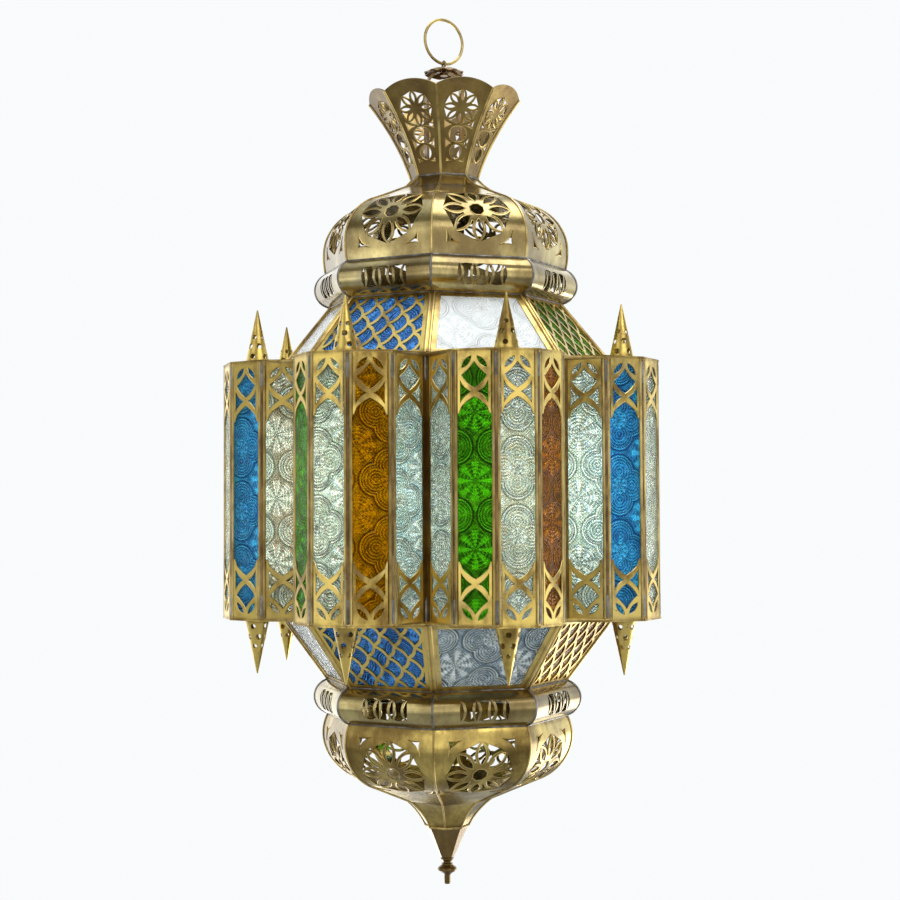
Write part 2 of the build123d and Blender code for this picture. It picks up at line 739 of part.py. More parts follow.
upper_span = (shoulder_foot_radius, body_top_z, upper_shoulder_radius, upper_shoulder_z)
lower_span = (lower_shoulder_radius, lower_moulding_z, shoulder_foot_radius, body_bottom_z)
tiers = {"upper": (upper_span, upper_lattice_colours), "lower": (lower_span, lower_lattice_colours)}
for tier, (sizes, colours) in tiers.items():
    frame, lattice, pane, came = shoulder_pieces(*sizes)
    plain = [bay for bay in range(bay_count) if bay not in colours and (tier, bay) != ("upper", door_bay)]
    write(f"{tier}_shoulder_cames", at_bays(came, turn=bay_turn / 2))
    write(f"{tier}_shoulder_frames", at_bays(frame, plain))
    write(f"{tier}_shoulder_lattices", at_bays(lattice, colours))
    write(f"{tier}_shoulder_clear_panes", at_bays(pane, plain))
    for colour in sorted(set(colours.values())):
        bays = [bay for bay in colours if colours[bay] == colour]
        write(f"{tier}_shoulder_{colour}_panes", at_bays(pane, bays))

door = dict(zip(("frame", "pane", "hinge_rail", "hinge_pin", "sill", "pull"), hinge_pieces()))
for name, shape in door.items():
    write(f"door_{name}", at_bays(shape, [door_bay]))

write("outer_cames", [c for number in range(1, bay_panes) for c in at_bays(outer_came(number))])
write("inner_cames", at_bays(inner_came()))
write("bay_top_plates", at_bays(bay_plate(body_top_z - sheet)))
write("bay_bottom_plates", at_bays(bay_plate(body_bottom_z)))
panes = {"clear": []}
for bay, colours in enumerate(diagonal_colours):
    order = ("clear", colours[0], "clear", colours[1], "clear")
    for number, colour in enumerate(order):
        panes.setdefault(colour, []).extend(at_bays(at_face(upright_pane(), number), [bay]))
for colour, pieces in panes.items():
    write(f"{colour}_panes", pieces)
for place, overlay in (("top", overlay_plate()), ("bottom", turned_over(overlay_plate()))):
    write(f"{place}_overlays", [p for number in range(bay_panes) for p in at_bays(at_face(overlay, number))])
write("top_spikes", at_bays(spike()))
write("bottom_spikes", at_bays(turned_over(spike())))

write("tip_collar", [tip_collar()])
write("tip_cone", [tip_cone()])
write("finial", [finial()])
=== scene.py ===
import math

import bmesh
import bpy
from mathutils import Matrix, Vector


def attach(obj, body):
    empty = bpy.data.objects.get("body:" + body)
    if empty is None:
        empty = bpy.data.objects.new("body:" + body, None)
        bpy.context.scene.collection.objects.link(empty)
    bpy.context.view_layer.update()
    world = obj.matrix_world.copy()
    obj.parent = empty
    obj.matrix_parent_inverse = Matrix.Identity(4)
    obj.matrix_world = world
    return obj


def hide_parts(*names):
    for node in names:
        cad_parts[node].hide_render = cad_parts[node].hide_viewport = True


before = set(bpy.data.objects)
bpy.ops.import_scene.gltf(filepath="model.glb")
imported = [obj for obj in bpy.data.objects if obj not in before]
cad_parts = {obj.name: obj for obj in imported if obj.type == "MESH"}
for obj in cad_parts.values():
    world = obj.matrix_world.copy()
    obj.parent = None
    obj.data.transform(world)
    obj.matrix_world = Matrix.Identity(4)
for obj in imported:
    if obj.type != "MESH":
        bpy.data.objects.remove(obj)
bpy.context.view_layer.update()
scene = bpy.context.scene
print("frame loaded with", len(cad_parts), "nodes")

# sizes are in millimetres until a piece is settled, and a pair of heights goes from the top down
millimetre = 0.001
plan = {
    "bays": 8, "panes": 5, "paneWidth": 33.0, "doorBay": 4, "footInset": 2.2,
    "crown": (-67.6, -131.8),
    "upperMoulding": (-208.2, -236.0),
    "body": (-287.4, -487.6),
    "lowerMoulding": (-540.7, -568.5),
    "tip": (-657.5, -683.5),
    "neckRadius": 27.4, "upperDome": 100.5, "upperShoulder": 95.0,
    "lowerShoulder": 97.5, "lowerDome": 101.3, "tipRadius": 17.6,
}
bays = range(plan["bays"])
bodyTop, bodyFoot = plan["body"]
bayTurn = math.tau / plan["bays"]
halfBay = bayTurn / 2
paneTurn = math.tau / (2 * plan["panes"])
cornerRadius = plan["paneWidth"] / 2 / math.sin(paneTurn / 2)
faceRadius = plan["paneWidth"] / 2 / math.tan(paneTurn / 2)
bayCentre = cornerRadius / math.tan(halfBay)
footRadius = cornerRadius / math.sin(halfBay) - plan["footInset"]


# finishes: sums and products of values add Math nodes
class Value:
    def __init__(self, nodes, socket):
        self.nodes = nodes
        self.socket = socket

    def calc(self, operation, *given):
        return self.nodes.add("ShaderNodeMath", {"operation": operation}, dict(enumerate(given)))

    def __add__(self, other):
        return self.calc("ADD", self, other)

    def __radd__(self, other):
        return self.calc("ADD", other, self)

    def __sub__(self, other):
        return self.calc("SUBTRACT", self, other)

    def __rsub__(self, other):
        return self.calc("SUBTRACT", other, self)

    def __mul__(self, other):
        return self.calc("MULTIPLY", self, other)

    def __rmul__(self, other):
        return self.calc("MULTIPLY", other, self)

    def __pow__(self, other):
        return self.calc("POWER", self, other)

    def __abs__(self):
        return self.calc("ABSOLUTE", self)

    def root(self):
        return self.calc("SQRT", self)

    def wave(self):
        return self.calc("SINE", self)

    def least(self, other):
        return self.calc("MINIMUM", self, other)

    def most(self, other):
        return self.calc("MAXIMUM", self, other)

    def wrapped(self):
        return self.calc("WRAP", self, 0.5, -0.5)

    def between(self, low, high):
        settings = {"interpolation_type": "SMOOTHSTEP"}
        return self.nodes.add("ShaderNodeMapRange", settings, {"Value": self, "From Min": low, "From Max": high})


class Nodes:
    # the nodes of a finish or of the room
    def __init__(self, tree):
        self.tree = tree

    def add(self, kind, settings, sockets, out=0):
        node = self.tree.nodes.new(kind)
        for key, value in settings.items():
            setattr(node, key, value)
        for key, value in sockets.items():
            self.feed(node.inputs[key], value)
        return Value(self, node.outputs[out])

    def feed(self, socket, value):
        if isinstance(value, Value):
            self.tree.links.new(value.socket, socket)
        else:
            socket.default_value = value

    def mixed(self, factor, first, second):
        return self.add("ShaderNodeMix", {"data_type": "RGBA"}, {0: factor, 6: first, 7: second}, 2)


class Finish(Nodes):
    def __init__(self, name, fixed):
        self.material = bpy.data.materials.new(name)
        self.material.use_nodes = True
        super().__init__(self.material.node_tree)
        self.shader = self.tree.nodes["Principled BSDF"]
        for socket, value in fixed.items():
            self.set(socket, value)

    def set(self, socket, value):
        self.feed(self.shader.inputs[socket], value)

    def coords(self, kind="Object"):
        return self.add("ShaderNodeTexCoord", {}, {}, kind)

    def noise(self, scale, detail=4.0, stretch=(1, 1, 1), roughness=0.55):
        at = self.add("ShaderNodeMapping", {}, {"Vector": self.coords(), "Scale": stretch})
        sockets = {"Vector": at, "Scale": scale, "Detail": detail, "Roughness": roughness}
        return self.add("ShaderNodeTexNoise", {}, sockets)

    def bumped(self, height, distance, strength=1.0):
        sockets = {"Height": height, "Distance": distance, "Strength": strength}
        self.set("Normal", self.add("ShaderNodeBump", {}, sockets))


# what every brass shares; the joints are heights in metres, where the brass is darkest
brassShared = {
    "lacquerRoughness": 0.12, "lacquerIor": 1.6, "grain": 1100.0, "specks": 360.0,
    "relief": 0.0012, "strength": 0.4,
    "jointCore": 0.0006, "joints": [height * millimetre for height in (
        plan["crown"][1], *plan["upperMoulding"], *plan["body"], *plan["lowerMoulding"], plan["tip"][0],
    )],
}


def brassFinish(look):
    metal = Finish(look["name"], {
        "Metallic": 1.0, "Coat Weight": look["coat"],
        "Coat Roughness": brassShared["lacquerRoughness"], "Coat IOR": brassShared["lacquerIor"],
    })
    smudge = metal.noise(look["smudge"], 7.0, (1, 1, 0.6), 0.64)
    cloud = metal.noise(look["smudge"] * 0.27, 3.0)
    grain = metal.noise(brassShared["grain"], 3.0, (1, 1, 0.22))
    tarnish = (smudge * 0.62 + cloud * 0.48).between(*look["tarnish"])
    level = metal.add("ShaderNodeSeparateXYZ", {}, {"Vector": metal.coords()}, 2)
    # the brass is darker within its dark reach of each joint height, in patches of the smudge noise
    for joint in brassShared["joints"]:
        near = 1 - abs(level - joint).between(brassShared["jointCore"], look["darkReach"])
        tarnish = tarnish.most(near * smudge.between(0.3, 0.58) * 0.95)
    colour = metal.mixed(tarnish, look["bright"], look["dark"])
    bloom = metal.noise(look["smudge"] * 0.6, 4.0, (1, 1, 0.8)).between(0.5, 0.78)
    colour = metal.mixed(bloom * look["bloom"], colour, look["haze"])
    specks = metal.noise(brassShared["specks"], 3.0).between(0.62, 0.74)
    metal.set("Base Color", metal.mixed(specks * 0.5, colour, look["speck"]))
    metal.set("Roughness", look["roughness"] + tarnish * 0.12 + bloom * 0.08 + grain * 0.09)
    dents = metal.noise(look["dents"], 2.0)
    height = dents * look["beaten"] + grain * 0.05 + smudge * 0.06
    metal.bumped(height, brassShared["relief"], brassShared["strength"])
    return metal.material


brassLooks = {
    "sheet": {
        "name": "agedBrass", "coat": 0.35, "roughness": 0.10, "dents": 34.0, "beaten": 0.6,
        "smudge": 30.0, "tarnish": (0.37, 0.67), "darkReach": 0.011, "bloom": 0.34, "haze": (0.47, 0.42, 0.32, 1),
        "bright": (0.57, 0.465, 0.19, 1), "dark": (0.17, 0.115, 0.036, 1), "speck": (0.09, 0.055, 0.02, 1),
    },
    # a copy of the sheet brass with less haze and lacquer sheen and a deeper gold, for the downward-facing lower
    # dome: painted shade of the dark ground it faces
    "deep": {
        "name": "shadedLowerBrass", "coat": 0.12, "roughness": 0.10, "dents": 34.0, "beaten": 0.6,
        "smudge": 34.0, "tarnish": (0.37, 0.65), "darkReach": 0.011, "bloom": 0.2, "haze": (0.47, 0.42, 0.32, 1),
        "bright": (0.70, 0.53, 0.155, 1), "dark": (0.16, 0.10, 0.024, 1), "speck": (0.08, 0.048, 0.018, 1),
    },
    # darker brown brass for the crown, tip cone, finial and inner cames: partly their own brown patina, partly
    # painted shade
    "crown": {
        "name": "brownBrassAndShade", "coat": 0.2, "roughness": 0.22, "dents": 60.0, "beaten": 0.4,
        "smudge": 46.0, "tarnish": (0.34, 0.64), "darkReach": 0.012, "bloom": 0.15, "haze": (0.42, 0.36, 0.22, 1),
        "bright": (0.36, 0.252, 0.07, 1), "dark": (0.15, 0.09, 0.025, 1), "speck": (0.06, 0.036, 0.014, 1),
    },
    "plate": {
        "name": "wornBrass", "coat": 0.1, "roughness": 0.26, "dents": 75.0, "beaten": 0.8,
        "smudge": 52.0, "tarnish": (0.49, 0.69), "darkReach": 0.005, "bloom": 0.3, "haze": (0.64, 0.54, 0.27, 1),
        "bright": (0.72, 0.53, 0.14, 1), "dark": (0.20, 0.122, 0.028, 1), "speck": (0.12, 0.07, 0.024, 1),
    },
    "bead": {
        "name": "paleBrass", "coat": 0.1, "roughness": 0.26, "dents": 90.0, "beaten": 0.4,
        "smudge": 70.0, "tarnish": (0.42, 0.70), "darkReach": 0.007, "bloom": 0.35, "haze": (0.72, 0.64, 0.43, 1),
        "bright": (0.67, 0.505, 0.175, 1), "dark": (0.23, 0.148, 0.042, 1), "speck": (0.15, 0.09, 0.035, 1),
    },
    # dark brown brass, which also paints shade: on the rosette cap's underside and on the rods in the cames'
    # grooves
    "dark": {
        "name": "darkBrassAndShade", "coat": 0.2, "roughness": 0.26, "dents": 120.0, "beaten": 0.5,
        "smudge": 90.0, "tarnish": (0.40, 0.66), "darkReach": 0.004, "bloom": 0.2, "haze": (0.30, 0.25, 0.17, 1),
        "bright": (0.42, 0.275, 0.11, 1), "dark": (0.13, 0.078, 0.035, 1), "speck": (0.03, 0.018, 0.01, 1),
    },
    "solder": {
        "name": "greySolder", "coat": 0.2, "roughness": 0.32, "dents": 260.0, "beaten": 0.8,
        "smudge": 150.0, "tarnish": (0.40, 0.66), "darkReach": 0.004, "bloom": 0.3, "haze": (0.46, 0.45, 0.43, 1),
        "bright": (0.34, 0.325, 0.30, 1), "dark": (0.13, 0.115, 0.095, 1), "speck": (0.07, 0.055, 0.04, 1),
    },
}
brass = {key: brassFinish(look) for key, look in brassLooks.items()}

# the pressed pattern: lengths are shares of one repeat, which the pane's own UV map counts
patternLook = {
    "lobeReach": 0.215, "lobeRadius": 0.232, "ribPitch": 0.046, "ribsFrom": (0.14, 0.17), "dots": 20,
    "heart": 0.14, "sprig": 0.29, "rays": 8, "veinPitch": 0.055, "ior": 1.45,
    "ripple": 215.0, "cloud": 34.0, "sparks": 260.0, "sparkPatches": 25.0,  # scales of its noises
}


def glassFinish(name, look, pattern):
    pressing = Finish(name, {
        "Transmission Weight": look["clearness"], "IOR": pattern["ior"],
        "Specular IOR Level": look["shine"], "Specular Tint": look["glint"],
    })
    across, along = (
        pressing.add("ShaderNodeSeparateXYZ", {}, {"Vector": pressing.coords("UV")}, axis) for axis in (0, 1)
    )

    def fromLobes(shift, reach):
        # distance from the nearest of four points round a centre
        x, y = abs((across + shift).wrapped()), abs((along + shift).wrapped())
        return ((x.most(y) - reach) ** 2 + x.least(y) ** 2).root()

    def leaves(shift, reach):
        x, y = (across + shift).wrapped(), (along + shift).wrapped()
        rays = (x.calc("ARCTAN2", y, x) * pattern["rays"] + math.pi / 2).wave()
        away = fromLobes(shift, 0.0)
        veins = rays.between(-0.5, 0.7) * 0.7 + (away * (math.tau / pattern["veinPitch"])).wave() * 0.25
        return veins * away.between(0.012, 0.03) * (reach - away).between(0.0, 0.02)

    def line(edge, width):
        return 1 - abs(edge).between(width * 0.3, width)

    lobe = fromLobes(0.0, pattern["lobeReach"])
    edge = lobe - pattern["lobeRadius"]
    inside = (-0.034 - edge).between(0.0, 0.01)
    dotTurn = math.tau * pattern["dots"]
    dots = (across * dotTurn).wave() * (along * dotTurn).wave()
    ribbed = fromLobes(0.0, 0.0).between(*pattern["ribsFrom"])
    ribs = (lobe * (math.tau / pattern["ribPitch"])).wave() * inside * ribbed * 0.55 + dots * 0.4
    outline = line(edge, 0.022) + line(edge + 0.036, 0.012) * 0.55
    heart = leaves(0.0, pattern["heart"])
    sprig = leaves(0.5, pattern["sprig"]) * edge.between(0.01, 0.03)
    ripple, cloud = pressing.noise(pattern["ripple"], 3.0), pressing.noise(pattern["cloud"], 3.0)
    pressing.bumped(outline + ribs * 0.24 + heart * 0.7 + sprig * 0.7 + ripple * 0.6, look["relief"])
    pressing.set("Roughness", 0.09 + ripple * 0.1)
    # painted highlights on the raised lines and painted shadow in the dips beside the outline; the ripple and cloud
    # noises paint mottled shade and refracted surroundings into the tone
    shadow = line(edge - 0.023, 0.02) + line(edge + 0.019, 0.013) * 0.6
    tone = 0.44 + outline * 0.72 + heart * 0.76 + sprig * 0.76 + ribs * 0.42 - shadow * 1.1
    tone = (tone + (ripple - 0.5) * 1.1 + (cloud - 0.5) * 0.6).between(0.05, 0.96)
    colour = pressing.mixed(tone, look["deep"], look["light"])
    # painted glints: specks of the glint colour, refracted brass, mixed into the glass colour
    sparks = pressing.noise(pattern["sparks"], 2.0).between(0.58, 0.72)
    sparks = sparks * pressing.noise(pattern["sparkPatches"], 2.0).between(0.45, 0.65)
    pressing.set("Base Color", pressing.mixed(sparks * look["glints"], colour, look["glint"]))
    return pressing.material


colouredGlass = {"glints": 0.3, "clearness": 0.74, "relief": 0.0008, "shine": 0.08}
glassLooks = {
    "clear": {
        "deep": (0.31, 0.39, 0.33, 1), "light": (0.93, 0.97, 0.89, 1), "glint": (0.72, 0.56, 0.27, 1),
        "glints": 0.6, "clearness": 0.84, "relief": 0.0007, "shine": 0.25,
    },
    # a near-white, less clear copy of the clear glass for the upward-facing upper shoulder: painted light
    "litClear": {
        "deep": (0.74, 0.79, 0.81, 1), "light": (0.98, 0.99, 0.99, 1), "glint": (0.80, 0.80, 0.74, 1),
        "glints": 0.4, "clearness": 0.28, "relief": 0.0006, "shine": 0.4,
    },
    # a bluer copy of the clear glass with a darker deep tone, for the downward-facing lower shoulder: painted shade
    "shadedClear": {
        "deep": (0.14, 0.21, 0.25, 1), "light": (0.97, 1.0, 1.0, 1), "glint": (0.80, 0.84, 0.80, 1),
        "glints": 0.4, "clearness": 0.7, "relief": 0.001, "shine": 0.5,
    },
    "cobalt": {
        "deep": (0.006, 0.05, 0.22, 1), "light": (0.10, 0.42, 1.0, 1), "glint": (0.35, 0.60, 0.98, 1),
        "glints": 0.3, "clearness": 0.6, "relief": 0.0008, "shine": 0.1,
    },
    "green": {
        "deep": (0.001, 0.028, 0.0, 1), "light": (0.085, 0.53, 0.004, 1), "glint": (0.45, 0.75, 0.10, 1),
        **colouredGlass,
    },
    "brown": {
        "deep": (0.085, 0.024, 0.001, 1), "light": (0.52, 0.18, 0.004, 1), "glint": (0.70, 0.36, 0.05, 1),
        **colouredGlass,
    },
    "blue": {
        "deep": (0.004, 0.07, 0.27, 1), "light": (0.08, 0.60, 1.0, 1), "glint": (0.30, 0.65, 0.98, 1),
        **colouredGlass,
    },
    "amber": {
        "deep": (0.09, 0.023, 0.0, 1), "light": (0.50, 0.205, 0.0, 1), "glint": (0.85, 0.48, 0.03, 1),
        **colouredGlass,
    },
}
glass = {key: glassFinish(key + "Glass", look, patternLook) for key, look in glassLooks.items()}

holderLook = {
    "colour": (0.02, 0.018, 0.016, 1), "worn": (0.06, 0.05, 0.045, 1),
    "wear": 220.0, "grain": 1500.0, "relief": 0.0002, "strength": 0.4,
}
holder = Finish("holderPlastic", {"Specular IOR Level": 0.5})
holderWear = holder.noise(holderLook["wear"], 4.0).between(0.4, 0.8)
holder.set("Base Color", holder.mixed(holderWear, holderLook["colour"], holderLook["worn"]))
holder.set("Roughness", 0.25 + holderWear * 0.25)
holder.bumped(holder.noise(holderLook["grain"], 2.0), holderLook["relief"], holderLook["strength"])
print("finishes ready")


# flat work: sheets are cut out flat, bent over their form and given thickness
def fromCurve(paths, settings, closed, endSize=1.0):
    curve = bpy.data.curves.new("draft", "CURVE")
    for key, value in settings.items():
        setattr(curve, key, value)
    for path in paths:
        spline = curve.splines.new("POLY")
        spline.points.add(len(path) - 1)
        for point, spot in zip(spline.points, path):
            point.co = (*spot, 0)[:3] + (1,)  # a flat point gets a height of 0
        spline.points[0].radius = spline.points[-1].radius = endSize
        spline.use_cyclic_u = closed
    draft = bpy.data.objects.new("draft", curve)
    mesh = bpy.data.meshes.new_from_object(draft)
    bm = bmesh.new()
    bm.from_mesh(mesh)
    bpy.data.objects.remove(draft)
    bpy.data.curves.remove(curve)
    bpy.data.meshes.remove(mesh)
    return bm


def cutSheet(loops):
    bm = fromCurve(loops, {"dimensions": "2D", "fill_mode": "BOTH"}, closed=True)
    bmesh.ops.remove_doubles(bm, verts=bm.verts, dist=0.005)
    return bm


def roundRods(paths, radius, closed=False, endSize=1.0, sides=2):
    settings = {"dimensions": "3D", "bevel_depth": radius, "bevel_resolution": sides, "use_fill_caps": True}
    bm = fromCurve(paths, settings, closed, endSize)
    bmesh.ops.recalc_face_normals(bm, faces=bm.faces)
    return bm


def edgeWires(loops, spot, radius=0.4):
    # a rod of pale brass along a cut edge: its worn burr, and partly a painted highlight on the edge
    return roundRods([[spot(x, y) for x, y in loop] for loop in loops], radius, closed=True, sides=0)


def everything(bm):
    return bm.verts[:] + bm.edges[:] + bm.faces[:]


def foldRows(bm, stops, across=(0, 1, 0)):
    for stop in stops:
        spot = Vector(across) * stop
        bmesh.ops.bisect_plane(bm, geom=everything(bm), dist=0.0005, plane_co=spot, plane_no=across)


def faceTowards(bm, outward):
    bm.normal_update()
    facing = sum((face.normal * face.calc_area() for face in bm.faces), Vector())
    if facing.dot(Vector(outward)) < 0:
        bmesh.ops.reverse_faces(bm, faces=bm.faces[:])
    return bm


def bend(bm, spot, outward):
    for vert in bm.verts:
        vert.co = spot(vert.co.x, vert.co.y)
    return faceTowards(bm, outward)


def allRound(bm):
    steps = plan["bays"] - 1
    spin = {"axis": (0, 0, 1), "cent": (0, 0, 0), "angle": steps * bayTurn, "steps": steps}
    bmesh.ops.spin(bm, geom=everything(bm), use_duplicate=True, **spin)
    return bm


def turned(bm, angle, axis="Z"):
    bmesh.ops.rotate(bm, verts=bm.verts, cent=(0, 0, 0), matrix=Matrix.Rotation(angle, 3, axis))
    return bm


def joined(parts):
    whole = bmesh.new()
    for part in parts:
        mesh = bpy.data.meshes.new("part")
        part.to_mesh(mesh)
        part.free()
        whole.from_mesh(mesh)
        bpy.data.meshes.remove(mesh)
    return whole


def settle(name, bm, finish, slot, body="lantern", nodes=(), thick=0.0, sharp=32):
    if thick:
        bmesh.ops.solidify(bm, geom=bm.faces[:], thickness=thick)
    bmesh.ops.transform(bm, matrix=Matrix.Scale(millimetre, 4), verts=bm.verts)
    mesh = bpy.data.meshes.new(name)
    bm.to_mesh(mesh)
    bm.free()
    mesh.shade_smooth()
    mesh.set_sharp_from_angle(angle=math.radians(sharp))
    mesh.materials.append(finish)
    piece = bpy.data.objects.new(name, mesh)
    scene.collection.objects.link(piece)
    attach(piece, body)
    if nodes:
        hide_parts(*nodes)


# plan geometry: turns are counted from the front bay
def flat(radius):
    return radius * math.cos(halfBay)


def polar(turn, radius):
    return radius * math.sin(turn), -radius * math.cos(turn)


def swung(x, y, turn):
    return x * math.cos(turn) - y * math.sin(turn), x * math.sin(turn) + y * math.cos(turn)


def octagon(radius, height):
    return [(*polar(halfBay * (2 * bay + 1), radius), height) for bay in bays]


def arc(start, middle, end, steps):
    (ax, ay), (bx, by), (cx, cy) = start, middle, end
    cross = 2 * (ax * (by - cy) + bx * (cy - ay) + cx * (ay - by))
    a2, b2, c2 = ax * ax + ay * ay, bx * bx + by * by, cx * cx + cy * cy
    ux = (a2 * (by - cy) + b2 * (cy - ay) + c2 * (ay - by)) / cross
    uy = (a2 * (cx - bx) + b2 * (ax - cx) + c2 * (bx - ax)) / cross
    radius, first = math.hypot(ax - ux, ay - uy), math.atan2(ay - uy, ax - ux)
    through = math.remainder(math.atan2(by - uy, bx - ux) - first, math.tau)
    rest = math.remainder(math.atan2(cy - uy, cx - ux) - first - through, math.tau)
    turns = [first + (through + rest) * step / steps for step in range(steps + 1)]
    return [(ux + radius * math.cos(turn), uy + radius * math.sin(turn)) for turn in turns]


def leaf(start, end, width, steps=6):
    # a pointed leaf between two points
    (ax, ay), (bx, by) = start, end
    mx, my, length = (ax + bx) / 2, (ay + by) / 2, math.dist(start, end)
    nx, ny = -(by - ay) / length * width / 2, (bx - ax) / length * width / 2
    return arc(start, (mx + nx, my + ny), end, steps) + arc(end, (mx - nx, my - ny), start, steps)[1:-1]


def curvedShape(corners, bows, steps=4):
    # a closed outline whose sides bow out of the straight line by the given heights
    points = []
    for (ax, ay), (bx, by), bow in zip(corners, corners[1:] + corners[:1], bows):
        length = math.dist((ax, ay), (bx, by))
        middle = ((ax + bx) / 2 + (by - ay) / length * bow, (ay + by) / 2 - (bx - ax) / length * bow)
        points += arc((ax, ay), middle, (bx, by), steps)[:-1] if bow else [(ax, ay)]
    return points


def clipped(loop, region):
    # what is left of a loop inside a convex region drawn anticlockwise
    for (ax, ay), (bx, by) in zip(region, region[1:] + region[:1]):
        sides = [(bx - ax) * (y - ay) - (by - ay) * (x - ax) for x, y in loop]
        kept = []
        for (px, py), (qx, qy), here, there in zip(loop, loop[1:] + loop[:1], sides, sides[1:] + sides[:1]):
            if here >= 0:
                kept.append((px, py))
            if here * there < 0:
                share = here / (here - there)
                kept.append((px + (qx - px) * share, py + (qy - py) * share))
        loop = kept
    return loop


def spread(loop):
    return abs(sum(ax * by - bx * ay for (ax, ay), (bx, by) in zip(loop, loop[1:] + loop[:1]))) / 2


def shifted(loop, dy):
    return [(x, y + dy) for x, y in loop]


def mirrored(loop):
    return [(-x, y) for x, y in loop][::-1]


class Profile:
    # finds a point by its distance along a bent section of (distance from the axis, height)
    def __init__(self, points, way=-1):
        self.points = points
        self.way = way
        self.marks = [0.0]
        for a, b in zip(points, points[1:]):
            self.marks.append(self.marks[-1] + math.dist(a, b))
        self.length = self.marks[-1]

    def at(self, distance):
        last = len(self.marks) - 2
        step = 0
        while step < last and self.marks[step + 1] < distance:
            step += 1
        (ax, ay), (bx, by) = self.points[step], self.points[step + 1]
        share = (distance - self.marks[step]) / (self.marks[step + 1] - self.marks[step])
        return ax + (bx - ax) * share, ay + (by - ay) * share

    def side(self, gap):
        marks = zip(self.points, self.marks)
        return [(point[0] * math.tan(halfBay) - gap, self.way * mark) for point, mark in marks]

    def outline(self, gap):
        return self.side(gap) + mirrored(self.side(gap))

    def rows(self):
        return [self.way * mark for mark in self.marks[1:-1]]

    def spot(self, x, y):
        distance, height = self.at(self.way * y)
        return x, -distance, height

    def seam(self, lift):
        return [(*polar(halfBay, distance / math.cos(halfBay) + lift), height) for distance, height in self.points]


# domes: petals and holes are two distances from the rosette's centre and a width
domeLook = {
    "gap": 0.15, "thick": 1.0, "rise": 38.5, "hub": 6.2,
    "petal": (6.6, 28.4, 10.8), "hole": (9.0, 26.4, 7.0), "gapSpan": (11.6, 27.2),
    "corner": {"top": 29.4, "side": 26.6, "near": 15.6, "foot": 17.4, "lean": (0.6, 0.8), "bows": (0.7, 0.7, 2.4)},
    "heights": {"upper": 76.4, "lower": 89.0}, "rims": {"upper": 0.984, "lower": 0.962},
    "seamRod": 0.8, "seamLift": 0.1,
}
petalCount = 8

# runs of three points each: shares of the dome's radius and of its height, then the number of steps
domeRuns = {
    "upper": (
        ((plan["neckRadius"] / plan["upperDome"], 0.0), (0.335, 0.083), (0.448, 0.164), 8),
        ((0.448, 0.164), (0.585, 0.238), (0.716, 0.305), 6),
        ((0.716, 0.305), (0.920, 0.492), (1.0, 0.789), 18),
        ((1.0, 0.789), (0.997, 0.894), (domeLook["rims"]["upper"], 1.0), 4),
    ),
    "lower": (
        ((domeLook["rims"]["lower"], 0.0), (1.0, 0.153), (0.972, 0.325), 10),
        ((0.972, 0.325), (0.905, 0.445), (0.762, 0.565), 12),
        ((0.762, 0.565), (0.565, 0.657), (0.357, 0.757), 6),
        ((0.357, 0.757), (0.258, 0.860), (plan["tipRadius"] / plan["lowerDome"], 1.0), 10),
    ),
}


def domeProfile(tier, top):
    radius, height = flat(plan[tier + "Dome"]), domeLook["heights"][tier]
    points = []
    for *run, steps in domeRuns[tier]:
        ends = [(radius * share, top - height * depth) for share, depth in run]
        points += arc(*ends, steps)[1 if points else 0:]
    return Profile(points)


def rosette(look):
    # petals, the gaps between them, and for a dome a hub and four corner pieces
    loops = []
    petalTurn = math.tau / petalCount
    if "hub" in look:
        loops.append([polar(petalTurn * (n + 0.5), look["hub"]) for n in range(petalCount)])
    start, end, width = look["petal"]

    def halfPetal(radius):
        share = (radius - (start + end) / 2) / ((end - start) / 2)
        return width / 2 * max(0.0, 1 - share * share)

    def beside(turn, radius, offset):
        x, y = polar(turn, radius)
        return x + offset * math.cos(turn), y + offset * math.sin(turn)

    holeStart, holeEnd, holeWidth = look["hole"]
    near, far = look["gapSpan"]
    gapSteps = 6
    reaches = [near + (far - near) * n / gapSteps for n in range(gapSteps + 1)]
    for petal in range(petalCount):
        turn = petal * petalTurn
        loops.append(leaf(polar(turn, holeStart), polar(turn, holeEnd), holeWidth))
        rising = [beside(turn, reach, halfPetal(reach)) for reach in reaches]
        falling = [beside(turn + petalTurn, reach, -halfPetal(reach)) for reach in reaches[::-1]]
        loops.append(rising + falling)
    if "corner" in look:
        corner = look["corner"]
        leanX, leanY = corner["lean"]
        points = (
            (corner["near"], corner["top"]), (corner["side"], corner["top"] - leanY),
            (corner["side"] + leanX, corner["foot"]),
        )
        for sx, sy in ((-1, -1), (-1, 1), (1, -1), (1, 1)):
            placed = [(sx * x, sy * y) for x, y in points]
            loops.append(curvedShape(placed, [bow * sx * sy for bow in corner["bows"]]))
    return loops


def domePiece(tier, profile, centre, finish):
    loops = [profile.outline(domeLook["gap"])] + [shifted(loop, -centre) for loop in rosette(domeLook)]
    bm = cutSheet(loops)
    foldRows(bm, profile.rows())
    bend(bm, profile.spot, (0, -1, 0))
    name, node = tier + "Dome", tier + "_dome_petals"
    settle(name, allRound(bm), finish, "aged_brass", nodes=[node], thick=domeLook["thick"])
    settle(name + "Edges", allRound(edgeWires(loops[1:], profile.spot)), brass["bead"], "aged_brass")
    return profile.seam(domeLook["seamLift"])


upperDome = domeProfile("upper", plan["crown"][1])
lowerDome = domeProfile("lower", plan["lowerMoulding"][1])
domeSeams = [
    domePiece("upper", upperDome, upperDome.length - domeLook["rise"], brass["sheet"]),
    # the lower dome takes the shaded copy of the brass: painted shade
    domePiece("lower", lowerDome, domeLook["rise"], brass["deep"]),
]
settle("domeSeams", allRound(roundRods(domeSeams, domeLook["seamRod"])), brass["bead"], "soldered_brass")
print("domes done")

